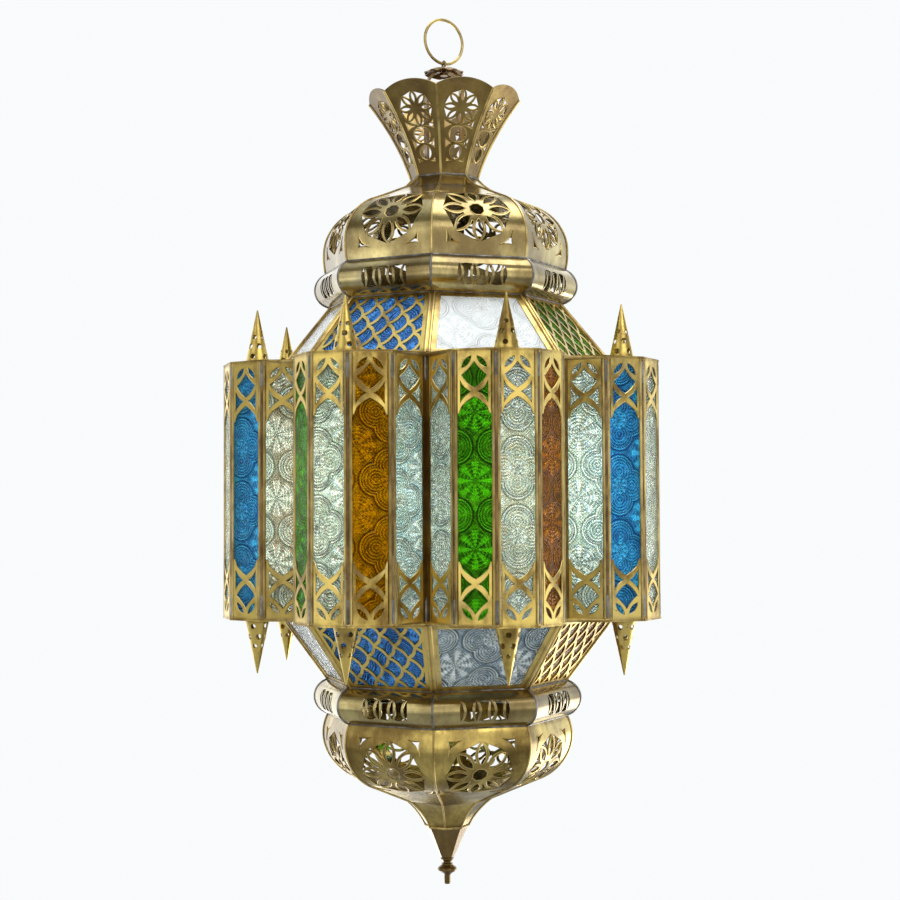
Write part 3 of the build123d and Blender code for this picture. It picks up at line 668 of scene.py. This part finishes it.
# half-round mouldings: leaf slots and waisted slots take turns
mouldingLook = {
    "gap": 0.1, "thick": 1.0, "proud": 7.5, "steps": 26, "slotsAside": 3, "pitch": 6.1, "slot": (17.0, 3.4),
    "waisted": {"half": 4.6, "shorter": 0.6, "endBow": 0.8, "waist": 2.3},
    "seamRod": 0.9, "seamSink": 0.2, "endLift": 0.2,
}


def mouldingSlots(look, middle):
    loops = []
    height, width = look["slot"]
    waisted = look["waisted"]
    half, end = waisted["half"], height / 2 - waisted["shorter"]
    bows = (waisted["endBow"], -waisted["waist"]) * 2
    for number in range(-look["slotsAside"], look["slotsAside"] + 1):
        x = number * look["pitch"]
        if number % 2:
            loops.append(leaf((x, middle - height / 2), (x, middle + height / 2), width))
        else:
            low, high = middle - end, middle + end
            corners = [(x - half, low), (x + half, low), (x + half, high), (x - half, high)]
            loops.append(curvedShape(corners, bows, 6))
    return loops


def mouldingPiece(tier, topRadius, footRadius):
    top, foot = plan[tier + "Moulding"]
    crest = (flat(plan[tier + "Dome"] + mouldingLook["proud"]), (top + foot) / 2)
    profile = Profile(arc((flat(topRadius), top), crest, (flat(footRadius), foot), mouldingLook["steps"]))
    bm = cutSheet([profile.outline(mouldingLook["gap"])] + mouldingSlots(mouldingLook, -profile.length / 2))
    foldRows(bm, profile.rows())
    bend(bm, profile.spot, (0, -1, 0))
    name, node = tier + "Moulding", tier + "_moulding"
    settle(name, allRound(bm), brass["sheet"], "aged_brass", nodes=[node], thick=mouldingLook["thick"])
    return profile


domeRims = {tier: plan[tier + "Dome"] * share for tier, share in domeLook["rims"].items()}
rolls = (
    mouldingPiece("upper", domeRims["upper"], plan["upperShoulder"]),
    mouldingPiece("lower", plan["lowerShoulder"], domeRims["lower"]),
)
rollSeams = [roll.seam(-mouldingLook["seamSink"]) for roll in rolls]
for roll in rolls:
    for distance, height in (roll.points[0], roll.points[-1]):
        halfSide, y = distance * math.tan(halfBay), -distance - mouldingLook["endLift"]
        rollSeams.append([(-halfSide, y, height), (halfSide, y, height)])
rollRods = allRound(roundRods(rollSeams, mouldingLook["seamRod"]))
settle("mouldingSeams", rollRods, brass["solder"], "soldered_brass")
print("mouldings done")

# crown: links are a height, half a length and a width; crossings a height, a drop and a rise
crownLook = {
    "gap": 0.2, "thick": 1.0, "steps": 20, "arch": 7.0, "archSteps": 14, "sag": 3.7, "mouth": 62.1,
    "rib": 1.1, "neckSeam": (27.5, 1.0), "margin": 4.4, "centre": 54.4,
    "flower": {"petal": (2.0, 15.4, 6.0), "hole": (4.6, 13.6, 3.2), "gapSpan": (8.4, 14.4)},
    "links": ((32.2, 6.6, 15.0), (17.9, 6.1, 10.4)),
    "crossings": ((39.8, 3.0, 4.4), (25.1, 4.6, 4.6), (10.9, 0.9, 3.4)),
    "crossingNear": 1.6, "crossingBow": 0.26, "crossingBack": 0.3,
}


def crownProfile(look):
    top, neck = plan["crown"]
    low, high = plan["neckRadius"], look["mouth"]
    points = []
    for step in range(look["steps"] + 1):
        share = step / look["steps"]
        radius = low + (high - low) * share - 4 * look["sag"] * share * (1 - share)
        points.append((flat(radius), neck + (top - neck) * share))
    return Profile(points, 1)


def crownLoops(look, profile):
    # the arched outline, a flower and two loops under it, with gaps beside their crossings
    side = profile.side(look["gap"])
    edge = side[-1]
    arch = arc(edge, (0, edge[1] + look["arch"]), (-edge[0], edge[1]), look["archSteps"])[1:-1]
    loops = [side + arch + mirrored(side)]
    loops += [shifted(loop, look["centre"]) for loop in rosette(look["flower"])]
    for y, half, width in look["links"]:
        loops.append(leaf((0, y - half), (0, y + half), width, 8))
    for y, below, above in look["crossings"]:
        low, high = (profile.at(y + step)[0] * math.tan(halfBay) - look["margin"] for step in (-below, above))
        bows = (-look["crossingBow"] * below, -look["crossingBack"], -look["crossingBow"] * above)
        gap = curvedShape([(look["crossingNear"], y), (low, y - below), (high, y + above)], bows)
        loops += [gap, mirrored(gap)]
    return loops


crownSide = crownProfile(crownLook)
crownCuts = crownLoops(crownLook, crownSide)
crown = cutSheet(crownCuts)
foldRows(crown, crownSide.rows() + [crownSide.length])
bend(crown, crownSide.spot, (0, -1, -0.5))
settle(
    "crownPanels", allRound(crown), brass["crown"], "aged_brass", nodes=["crown_panels"], thick=crownLook["thick"],
)
settle("crownEdges", allRound(edgeWires(crownCuts[1:], crownSide.spot)), brass["bead"], "aged_brass")
crownRibs = allRound(roundRods([crownSide.seam(0.0)], crownLook["rib"]))
settle("crownRibs", crownRibs, brass["bead"], "aged_brass", nodes=["crown_ribs"])
neckRadius, neckRod = crownLook["neckSeam"]
neckSeam = roundRods([octagon(neckRadius, plan["crown"][1])], neckRod, closed=True)
settle("neckSeam", neckSeam, brass["solder"], "soldered_brass")
print("crown done")

# shoulders: bays without a colour have clear panes, and a tier may have its own glass for a colour: above, a
# near-white lit copy of the clear glass, painted light on panes facing up; below, a bluer copy with a darker deep
# tone, painted shade on panes facing down
shoulderLook = {
    "frame": 4.2, "came": 2.6, "thick": 1.0, "glassThick": 3.0, "glassEnd": 1.5,
    "repeat": 49.0, "paneShift": (0.37, 0.21),
    "lattice": {
        "pitch": 17.6, "row": 10.9, "bar": 2.6, "bow": 1.3, "margin": 3.4, "least": 9.0, "rows": 4, "columns": 5,
    },
    "rod": 1.35, "rodAside": 1.5, "rodSink": 0.4, "core": 1.9, "coreSink": 2.2,
}
doorLook = {"side": 0.6, "foot": 5.0, "headroom": 12.9, "paneShift": (0.1, 0.3)}
tiers = {
    "upper": {
        "low": (footRadius, bodyTop), "high": (plan["upperShoulder"], plan["upperMoulding"][1]),
        "colours": {1: "green", 3: "blue", 5: "green", 7: "blue"}, "glass": {"clear": "litClear", "blue": "cobalt"},
    },
    "lower": {
        "low": (plan["lowerShoulder"], plan["lowerMoulding"][0]), "high": (footRadius, bodyFoot),
        "colours": {1: "amber", 3: "blue", 5: "amber", 7: "blue"}, "glass": {"clear": "shadedClear", "blue": "cobalt"},
    },
}


class Slant:
    # the flat slanted face of a shoulder: x across, y up its slope, sunk by a depth
    def __init__(self, low, high):
        self.low = low
        run, rise = flat(low[0] - high[0]), high[1] - low[1]
        self.slope = math.hypot(run, rise)
        self.inward, self.up = run / self.slope, rise / self.slope
        self.halves = [flat(radius) * math.tan(halfBay) for radius in (low[0], high[0])]

    def half(self, y):
        return self.halves[0] + (self.halves[1] - self.halves[0]) * y / self.slope

    def spot(self, depth):
        def find(x, y):
            distance = flat(self.low[0]) - self.inward * y - self.up * depth
            return x, -distance, self.low[1] + self.up * y - self.inward * depth
        return find

    def trapezoid(self, inset, low, high):
        margin = inset * math.hypot(1, (self.halves[1] - self.halves[0]) / self.slope)
        side = [(self.half(y) - margin, y) for y in (low, high)]
        return side + mirrored(side)

    def laid(self, sheet, depth):
        return bend(sheet, self.spot(depth), (0, -self.up, self.inward))


def latticeHoles(slant, look):
    # rows of bowed diamonds, each row half a pitch aside, kept inside the border
    border = slant.trapezoid(shoulderLook["came"] + look["margin"], look["margin"], slant.slope - look["margin"])
    step = math.hypot(look["pitch"] / 2, look["row"])
    wide = look["pitch"] / 2 - look["bar"] / 2 * step / look["row"]
    tall = look["row"] - look["bar"] / 2 * step / (look["pitch"] / 2)
    bow = look["bow"]
    loops = []
    for row in range(-look["rows"], look["rows"] + 1):
        for column in range(-look["columns"], look["columns"] + 1):
            x, y = (column + row % 2 / 2) * look["pitch"], slant.slope / 2 + row * look["row"]
            corners = [(x + wide, y), (x, y + tall), (x - wide, y), (x, y - tall)]
            hole = clipped(curvedShape(corners, (bow, -bow, -bow, bow), 5), border)
            if len(hole) > 2 and spread(hole) > look["least"]:
                loops.append(hole)
    return loops


def paneSheet(outline, repeat, shift):
    bm = cutSheet([outline])
    uv = bm.loops.layers.uv.verify()
    for face in bm.faces:
        for loop in face.loops:
            loop[uv].uv = (loop.vert.co.x / repeat + shift[0], loop.vert.co.y / repeat + shift[1])
    return bm


def cameRods(ends, look):
    # a pair of round rods with a groove between them, over a core
    rods = []
    for way in (-1, 1):
        aside = way * look["rodAside"]
        path = []
        for radius, height in ends:
            x, y = polar(halfBay, radius - look["rodSink"])
            path.append((x + aside * math.cos(halfBay), y + aside * math.sin(halfBay), height))
        rods.append(path)
    core = [(*polar(halfBay, radius - look["coreSink"]), height) for radius, height in ends]
    return joined([allRound(roundRods(rods, look["rod"])), allRound(roundRods([core], look["core"]))])


for tier, make in tiers.items():
    look = shoulderLook
    slant = Slant(make["low"], make["high"])
    colours = make["colours"]
    plain = [bay for bay in bays if bay not in colours and (tier, bay) != ("upper", plan["doorBay"])]
    whole = slant.trapezoid(look["came"], 0.0, slant.slope)
    window = slant.trapezoid(look["came"] + look["frame"], look["frame"], slant.slope - look["frame"])
    sheets = (
        ("Frames", [window], plain, "bead", "soldered_brass"),
        ("Lattices", latticeHoles(slant, look["lattice"]), colours, "plate", "aged_brass"),
    )
    for kind, holes, places, key, slot in sheets:
        sheet = slant.laid(cutSheet([whole] + holes), 0)
        around = joined([turned(sheet.copy(), bay * bayTurn) for bay in places])
        node = f"{tier}_shoulder_{kind.lower()}"
        settle(tier + "Shoulder" + kind, around, brass[key], slot, nodes=[node], thick=look["thick"])

    groups = {"clear": plain}
    for bay, colour in colours.items():
        groups.setdefault(colour, []).append(bay)
    outline = slant.trapezoid(look["came"], look["glassEnd"], slant.slope - look["glassEnd"])
    for colour, places in groups.items():
        panes = []
        for bay in places:
            pane = paneSheet(outline, look["repeat"], [bay * shift for shift in look["paneShift"]])
            panes.append(turned(slant.laid(pane, look["thick"]), bay * bayTurn))
        name, node = f"{tier}Shoulder{colour.title()}Panes", f"{tier}_shoulder_{colour}_panes"
        finish = glass[make["glass"].get(colour, colour)]
        settle(name, joined(panes), finish, colour + "_glass", nodes=[node], thick=look["glassThick"])
    if tier == "upper":
        doorTop = slant.slope - doorLook["headroom"]
        outline = slant.trapezoid(look["came"] + doorLook["side"], doorLook["foot"], doorTop)
        pane = slant.laid(paneSheet(outline, look["repeat"], doorLook["paneShift"]), look["thick"])
        pane = turned(pane, plan["doorBay"] * bayTurn)
        finish = glass[make["glass"]["clear"]]
        settle("doorPane", pane, finish, "clear_glass", body="door", nodes=["door_pane"], thick=look["glassThick"])
    cames = cameRods((make["low"], make["high"]), look)
    settle(tier + "ShoulderCames", cames, brass["bead"], "soldered_brass", nodes=[tier + "_shoulder_cames"])
print("shoulders done")

# body: panes, overlays, cames; every bay has clear panes on both sides of two coloured ones
paneLook = {
    "side": 1.6, "end": 1.2, "depth": 1.0, "thick": 3.0, "repeat": 49.0,
    "paneShift": (0.5, 0.31), "bayShift": 0.1,
}
paneColours = (
    ("green", "brown"), ("blue", "green"), ("amber", "blue"), ("green", "amber"),
    ("blue", "green"), ("amber", "blue"), ("green", "blue"), ("green", "amber"),
)


def faceTurn(number):
    return paneTurn * (number - (plan["panes"] - 1) / 2)


def faceSpot(bay, number, depth):
    # x across a pane of a bay, y its height
    turn = faceTurn(number)

    def find(x, y):
        px, py = polar(turn, faceRadius - depth)
        px, py = px + x * math.cos(turn), py + x * math.sin(turn) - bayCentre
        return (*swung(px, py, bay * bayTurn), y)
    return find


def faceOutward(bay, number):
    return (*polar(faceTurn(number) + bay * bayTurn, 1.0), 0)


paneHalf = plan["paneWidth"] / 2 - paneLook["side"]
paneFoot, paneTop = bodyFoot + paneLook["end"], bodyTop - paneLook["end"]
paneOutline = [(-paneHalf, paneFoot), (paneHalf, paneFoot), (paneHalf, paneTop), (-paneHalf, paneTop)]
bodyPanes = {}
for bay, (left, right) in enumerate(paneColours):
    for number, colour in enumerate(("clear", left, "clear", right, "clear")):
        order = bay * plan["panes"] + number
        across, up = (order * shift for shift in paneLook["paneShift"])
        shift = (across + bay * paneLook["bayShift"], up % 1.0)  # no two panes start alike
        pane = paneSheet(paneOutline, paneLook["repeat"], shift)
        spot = faceSpot(bay, number, paneLook["depth"])
        bodyPanes.setdefault(colour, []).append(bend(pane, spot, faceOutward(bay, number)))
for colour, panes in bodyPanes.items():
    nodes = [colour + "_panes"]
    settle(colour + "Panes", joined(panes), glass[colour], colour + "_glass", nodes=nodes, thick=paneLook["thick"])
print("panes done")

# overlay plates hang from 0 down; shapes are given for the right half, or for the whole diamond
overlayLook = {
    "half": 12.5, "height": 46.0, "thick": 0.8, "depth": 0.2, "burrDepth": 0.5, "end": 1.0,
    "foot": 0.7, "arch": ((9.9, -41.0), (4.6, -36.3), (0, -33.6)),
    "diamond": ([(9.9, -18.2), (0, -8.4), (-9.9, -18.2), (0, -27.8)], (-0.6, -0.6, 1.1, 1.1)),
    "leaf": ((1.9, -4.4), (9.9, -13.4), 4.4),
    "side": ([(10.6, -21.8), (2.2, -30.3), (10.6, -38.6)], (-1.2, -0.9, 0)),
}


def overlayLoops(look):
    # a plate cut as two crossing bands: a curved diamond, leaves above it, side pieces and a pointed arch
    half, foot = look["half"], -look["height"]
    arch = [(half - look["foot"], foot), *arc(*look["arch"], 5)]
    outline = [(-half, 0), (half, 0), (half, foot), *arch, *mirrored(arch)[1:], (-half, foot)]
    aboveLeaf, side = leaf(*look["leaf"]), curvedShape(*look["side"])
    return [outline, curvedShape(*look["diamond"]), aboveLeaf, mirrored(aboveLeaf), side, mirrored(side)]


overlayCuts = overlayLoops(overlayLook)
overlaySheet = cutSheet(overlayCuts)
overlays, overlayEdges = {"top": [], "bottom": []}, []
for bay in bays:
    for number in range(plan["panes"]):
        outward = faceOutward(bay, number)
        spot = faceSpot(bay, number, overlayLook["depth"])
        burrSpot = faceSpot(bay, number, overlayLook["burrDepth"])
        for end, level, way in (("top", bodyTop, 1), ("bottom", bodyFoot, -1)):
            level -= way * overlayLook["end"]
            overlays[end].append(bend(overlaySheet.copy(), lambda x, y: spot(x, level + way * y), outward))
            overlayEdges.append(edgeWires(overlayCuts, lambda x, y: burrSpot(x, level + way * y)))
for end, plates in overlays.items():
    nodes = [end + "_overlays"]
    settle(end + "Overlays", joined(plates), brass["plate"], "aged_brass", nodes=nodes, thick=overlayLook["thick"])
settle("overlayEdges", joined(overlayEdges), brass["bead"], "aged_brass")
print("overlays done")

# cames: two rods beside each outer corner, a dark rod in the groove between them (dark patina and painted shade of
# the recess) and solder at their ends
cameLook = {
    "rod": 1.3, "rodAside": 2.35, "end": 0.8, "groove": 1.7, "grooveInset": 2.2,
    "solder": 1.9, "solderEnd": 0.35,
    "outer": {"inset": 2.2, "run": 24.0, "shares": (0.05, 0.18, 0.8, 1.0)},
    "inner": {"inset": 1.0, "run": 22.0, "shares": (0.02, 0.18, 0.8, 1.0)},
    "rimRod": 1.6, "rimInset": 1.75, "rimValley": -0.6,
}


def bayCorner(number, inset=0.0):
    x, y = polar(paneTurn * (number - plan["panes"] / 2), cornerRadius - inset)
    return x, y - bayCentre


def besideCorner(number, face, along, inset):
    turn = faceTurn(face)
    x, y = bayCorner(number)
    ox, oy = polar(turn, inset)
    return x + along * math.cos(turn) - ox, y + along * math.sin(turn) - oy


def upright(x, y):
    return [(x, y, bodyFoot + cameLook["end"]), (x, y, bodyTop - cameLook["end"])]


def solderRuns(number, look):
    x, y = bayCorner(number, look["inset"])
    ends = ((bodyTop, -look["run"]), (bodyFoot, look["run"]))
    return [[(x, y, end + run * share) for share in look["shares"]] for end, run in ends]


cameBeads, grooves, solder = [], [], []
for number in range(1, plan["panes"]):
    for face, way in ((number - 1, -1), (number, 1)):
        cameBeads.append(upright(*besideCorner(number, face, way * cameLook["rodAside"], cameLook["rod"])))
    grooves.append(upright(*bayCorner(number, cameLook["grooveInset"])))
    solder += solderRuns(number, cameLook["outer"])
solder += solderRuns(plan["panes"], cameLook["inner"])
outerCames = allRound(roundRods(cameBeads, cameLook["rod"]))
settle("outerCames", outerCames, brass["bead"], "soldered_brass", nodes=["outer_cames"])
# the groove rod is dark patina and painted shade of the recess between the rods
settle("cameGrooves", allRound(roundRods(grooves, cameLook["groove"])), brass["dark"], "dark_brass")
solderPatches = allRound(roundRods(solder, cameLook["solder"], endSize=cameLook["solderEnd"]))
settle("solderPatches", solderPatches, brass["solder"], "soldered_brass")
rimPath = []
for bay in bays:
    for number in range(plan["panes"]):
        inset = cameLook["rimInset"] if number else cameLook["rimValley"]
        rimPath.append(swung(*bayCorner(number, inset), bay * bayTurn))
rimLevels = (bodyTop - cameLook["rimRod"], bodyFoot + cameLook["rimRod"])
rims = [[(x, y, level) for x, y in rimPath] for level in rimLevels]
settle("bodyRims", roundRods(rims, cameLook["rimRod"], closed=True), brass["bead"], "aged_brass")
print("cames done")

# spikes: a pierced sheet rolled into a cone; rows of holes are a height, a size and a shift
spikeLook = {
    "distance": 155.2, "radius": 9.75, "tip": 0.5, "height": 43.0, "thick": 0.8, "strips": 24,
    "rows": ((6.0, 4.3, 0.5), (14.2, 4.5, 0.0), (21.5, 3.5, 0.5)), "around": 5,
    "start": 0.28, "shift": 0.9, "holeSides": 10,
}


def spikeCone(look):
    width, around = math.tau * look["radius"], look["around"]
    loops = [[(0, 0), (width, 0), (width, look["height"]), (0, look["height"])]]
    for height, size, shift in look["rows"]:
        squeeze = 1 - height / look["height"]
        hole = [polar(math.tau * n / look["holeSides"], size / 2) for n in range(look["holeSides"])]
        for number in range(around):
            x = width * (number + look["start"] + shift * look["shift"]) / around % width
            x = min(max(x, size), width - size)
            loops.append([(x + px / squeeze, height + py) for px, py in hole])
    bm = cutSheet(loops)
    foldRows(bm, [width * n / look["strips"] for n in range(1, look["strips"])], (1, 0, 0))
    for vert in bm.verts:
        radius = look["radius"] + (look["tip"] - look["radius"]) * vert.co.y / look["height"]
        vert.co = (*polar(math.tau * vert.co.x / width, radius), vert.co.y)
    bmesh.ops.remove_doubles(bm, verts=bm.verts, dist=0.01)
    bmesh.ops.recalc_face_normals(bm, faces=bm.faces)
    bm.faces.ensure_lookup_table()
    outer = bm.faces[0]
    if outer.normal.xy.dot(outer.calc_center_median().xy) < 0:
        bmesh.ops.reverse_faces(bm, faces=bm.faces[:])
    return bm


topSpike = spikeCone(spikeLook)
bottomSpike = turned(topSpike.copy(), math.pi, "X")
for end, cone, level in (("top", topSpike, bodyTop), ("bottom", bottomSpike, bodyFoot)):
    bmesh.ops.translate(cone, verts=cone.verts, vec=(0, -spikeLook["distance"], level))
    name, nodes = end + "Spikes", [end + "_spikes"]
    settle(name, allRound(cone), brass["plate"], "aged_brass", nodes=nodes, thick=spikeLook["thick"], sharp=50)
print("spikes done")

# tip and finial: each turn is a radius and a height below the top
tipTop, tipFoot = plan["tip"]
tipLook = {
    "turns": ((plan["tipRadius"], 0.0), (14.2, -6.8), (10.2, -15.6), (6.6, -23.6), (5.3, tipFoot - tipTop)),
    "thick": 0.8, "collar": 17.7, "collarDrop": 0.4, "collarRod": 1.1,
}
finialLook = {
    "turns": (
        (0.0, 0.0), (4.7, 0.0), (5.3, -0.7), (5.3, -1.5), (4.4, -2.3), (3.6, -3.2), (3.5, -4.4), (4.6, -5.1),
        (4.5, -6.0), (5.4, -6.9), (7.2, -8.2), (7.75, -9.4), (7.5, -10.5), (6.0, -11.6), (3.9, -12.8),
        (2.9, -13.7), (2.6, -15.0), (2.6, -20.6), (2.1, -21.5), (0.0, -21.8),
    ),
}


def lathe(turns, top, steps=32, start=0.0):
    bm = bmesh.new()
    verts = [bm.verts.new((*polar(start, radius), top + height)) for radius, height in turns]
    edges = [bm.edges.new(pair) for pair in zip(verts, verts[1:])]
    spin = {"axis": (0, 0, 1), "cent": (0, 0, 0), "angle": math.tau, "steps": steps}
    bmesh.ops.spin(bm, geom=verts + edges, use_merge=True, **spin)
    bmesh.ops.remove_doubles(bm, verts=bm.verts, dist=0.002)
    bmesh.ops.recalc_face_normals(bm, faces=bm.faces)
    return bm


tipCone = lathe(tipLook["turns"], tipTop, plan["bays"], halfBay)
settle("tipCone", tipCone, brass["crown"], "aged_brass", nodes=["tip_cone"], thick=tipLook["thick"], sharp=20)
collarPath = octagon(tipLook["collar"], tipTop - tipLook["collarDrop"])
tipCollar = roundRods([collarPath], tipLook["collarRod"], closed=True)
settle("tipCollar", tipCollar, brass["bead"], "aged_brass", nodes=["tip_collar"])
finial = lathe(finialLook["turns"], tipFoot)
settle("finial", finial, brass["crown"], "aged_brass", nodes=["finial"], sharp=40)
print("tip done")

# hanging gear
ringLook = {"radius": 18.3, "wire": 1.2, "centre": -17.1, "steps": 64, "turn": math.radians(16.2)}
eyeLook = {"radius": 2.4, "wire": 0.8, "centre": -35.6, "steps": 24, "shank": (1.2, -38.0, -45.4), "shankSteps": 16}
capLook = {
    "top": -39.0, "rings": ((1.3, 0.0), (5.0, -0.1), (9.0, -0.9), (13.0, -2.3), (15.5, -3.4), (16.9, -3.9)),
    "steps": 80, "lobes": 10, "scallop": 0.085, "curl": 1.2, "thick": 0.8,
}


def hoop(look, away):
    # a ring of wire standing in the upright plane of the given direction
    path = []
    for step in range(look["steps"]):
        turn = math.tau * step / look["steps"]
        reach = look["radius"] * math.cos(turn)
        path.append((away[0] * reach, away[1] * reach, look["centre"] + look["radius"] * math.sin(turn)))
    return path


ring = turned(roundRods([hoop(ringLook, (1, 0))], ringLook["wire"], closed=True, sides=3), ringLook["turn"])
settle("hangingRing", ring, brass["bead"], "dark_brass", body="ring", nodes=["hanging_ring"])
eyeHoop = turned(roundRods([hoop(eyeLook, (0, 1))], eyeLook["wire"], closed=True), ringLook["turn"])
shankRadius, shankTop, shankFoot = eyeLook["shank"]
shankDrop = shankFoot - shankTop
shankTurns = [(0, 0), (shankRadius, 0), (shankRadius, shankDrop), (0, shankDrop)]
shank = lathe(shankTurns, shankTop, eyeLook["shankSteps"])
settle("swivelEye", joined([eyeHoop, shank]), brass["dark"], "dark_brass", body="eye", nodes=["swivel_eye"])
cap = lathe(capLook["rings"], capLook["top"], capLook["steps"])
for vert in cap.verts:
    reach = math.hypot(vert.co.x, vert.co.y) / capLook["rings"][-1][0]
    dip = (1 - math.cos(capLook["lobes"] * math.atan2(vert.co.y, vert.co.x))) / 2
    swell = 1 - capLook["scallop"] * reach ** 3 * dip
    vert.co.x, vert.co.y = vert.co.x * swell, vert.co.y * swell
    vert.co.z -= capLook["curl"] * reach ** 4 * dip
faceTowards(cap, (0, 0, 1))
# the cap is dark brass all over: painted shade of its underside, which faces down away from the lamps
settle("rosetteCap", cap, brass["dark"], "dark_brass", nodes=["rosette_cap"], thick=capLook["thick"], sharp=50)
print("hanging gear done")

# carried-over nodes
carried = {
    "plate": ("bay_top_plates", "bay_bottom_plates", "neck_plate", "door_frame", "door_hinge_rail", "door_sill"),
    "bead": ("door_pull", "door_hinge_pin", "lamp_shell", "lamp_tube"),
    # the inner cames take the dark brown brass as painted shade in the star's inner corners
    "crown": ("inner_cames",),
    "dark": ("hanger_stirrup", "eye_nut"),
}
carriedFinishes = {name: brass[key] for key, names in carried.items() for name in names}
carriedFinishes["lampholder_body"] = holder.material
for name, finish in carriedFinishes.items():
    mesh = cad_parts[name].data
    mesh.materials.clear()
    mesh.materials.append(finish)
print("carried-over nodes dressed")

# floor, light and camera, in metres
floorLook = {
    "height": -1.75, "radius": 4.1, "segments": 96, "roughness": 0.8,
    "low": (0.45, 0.46, 0.46, 1), "high": (0.50, 0.51, 0.51, 1), "clouds": 3.0,
}
floorBm = bmesh.new()
bmesh.ops.create_circle(floorBm, cap_ends=True, segments=floorLook["segments"], radius=floorLook["radius"])
bmesh.ops.translate(floorBm, verts=floorBm.verts, vec=(0, 0, floorLook["height"]))
floorMesh = bpy.data.meshes.new("floor")
floorBm.to_mesh(floorMesh)
floorBm.free()
floor = bpy.data.objects.new("floor", floorMesh)
scene.collection.objects.link(floor)
floorFinish = Finish("paleFloor", {"Roughness": floorLook["roughness"]})
floorTone = floorFinish.noise(floorLook["clouds"], 2.0).between(0.3, 0.7)
floorFinish.set("Base Color", floorFinish.mixed(floorTone, floorLook["low"], floorLook["high"]))
floorMesh.materials.append(floorFinish.material)

shot = {
    "azimuth": math.radians(-16.8), "distance": 1.351, "height": -0.4059, "lens": 66.16,
    "yaw": math.radians(0.156), "pitch": math.radians(2.2), "roll": math.radians(0.25),
}
rightWay = Vector((math.cos(shot["azimuth"]), math.sin(shot["azimuth"]), 0))
forward = Vector((-math.sin(shot["azimuth"]), math.cos(shot["azimuth"]), 0))

# the sky is behind the object, the glow behind its glass, and the room in what shines
roomLook = {
    "sky": (0.945, 0.965, 0.975, 1), "glow": (5.0, 5.25, 5.1, 1), "front": (0.62, 0.62, 0.58, 1),
    "side": (1.5, 1.6, 1.7, 1), "shade": (0.24, 0.235, 0.21, 1), "above": (1.2, 1.3, 1.42, 1),
    "back": (1.7, 1.74, 1.77, 1), "below": (0.2, 0.19, 0.17, 1), "patches": 2.3,
}
world = bpy.data.worlds.new("studio")
world.use_nodes = True
scene.world = world
room = Nodes(world.node_tree)
way = room.add("ShaderNodeTexCoord", {}, {}, "Generated")
ahead = room.add("ShaderNodeVectorMath", {"operation": "DOT_PRODUCT"}, {0: way, 1: forward}, "Value")
upward = room.add("ShaderNodeSeparateXYZ", {}, {0: way}, 2)
patches = room.add("ShaderNodeTexNoise", {}, {"Vector": way, "Scale": roomLook["patches"], "Detail": 1.0})
bands = (
    (ahead, -1.0, -0.2, "side"), (patches, 0.42, 0.62, "shade"), (upward, 0.2, 0.5, "shade"),
    (upward, 0.65, 0.95, "above"), (ahead, 0.45, 0.95, "back"), (upward, -0.15, -0.6, "below"),
)
tone = roomLook["front"]
for along, start, end, key in bands:
    tone = room.mixed(along.between(start, end), tone, roomLook[key])
for ray, key in (("Is Transmission Ray", "glow"), ("Is Camera Ray", "sky")):
    tone = room.mixed(room.add("ShaderNodeLightPath", {}, {}, ray), tone, roomLook[key])
room.feed(world.node_tree.nodes["Background"].inputs["Color"], tone)

lamps = {
    "keyBox": {"spot": (-1.9, -0.95, 0.2), "size": (1.4, 1.8), "power": 7.5},
    "fillBox": {"spot": (0.3, -2.3, 0.1), "size": (2.2, 1.8), "power": 11.0},
    "highBox": {"spot": (0.45, -1.75, 0.8), "size": (1.6, 0.4), "power": 5.0},
    "rightBox": {"spot": (1.45, 0.42, -1.15), "size": (1.2, 0.9), "power": 4.0, "spread": 1.5},
    "leftBox": {"spot": (-0.43, 1.39, -1.5), "size": (1.2, 0.9), "power": 4.0, "spread": 1.5},
    "topBox": {"spot": (0.1, -0.4, 1.6), "size": (1.6, 1.6), "power": 24.0},
}
aim = Vector((0, 0, -0.36))
for name, lamp in lamps.items():
    data = bpy.data.lights.new(name, "AREA")
    data.shape = "RECTANGLE"
    data.size, data.size_y = lamp["size"]
    data.energy = lamp["power"]
    data.spread = lamp.get("spread", math.pi)
    light = bpy.data.objects.new(name, data)
    light.visible_camera = False
    light.location = lamp["spot"]
    light.rotation_euler = (aim - light.location).to_track_quat("-Z", "Y").to_euler()
    scene.collection.objects.link(light)


def tilted(first, second, angle):
    # two directions at right angles, turned so that the first moves towards the second
    towards = first * math.cos(angle) + second * math.sin(angle)
    return towards, second * math.cos(angle) - first * math.sin(angle)


gaze, cameraRight = tilted(forward, rightWay, shot["yaw"])
gaze, cameraUp = tilted(gaze, Vector((0, 0, 1)), shot["pitch"])
cameraUp, cameraRight = tilted(cameraUp, cameraRight, shot["roll"])
place = -forward * shot["distance"]
place.z = shot["height"]
cameraData = bpy.data.cameras.new("camera")
cameraData.lens = shot["lens"]
camera = bpy.data.objects.new("camera", cameraData)
axes = Matrix((cameraRight, cameraUp, -gaze)).transposed().to_4x4()
camera.matrix_world = Matrix.Translation(place) @ axes
scene.collection.objects.link(camera)
scene.camera = camera
scene.view_settings.view_transform = "Standard"
print("stage done")
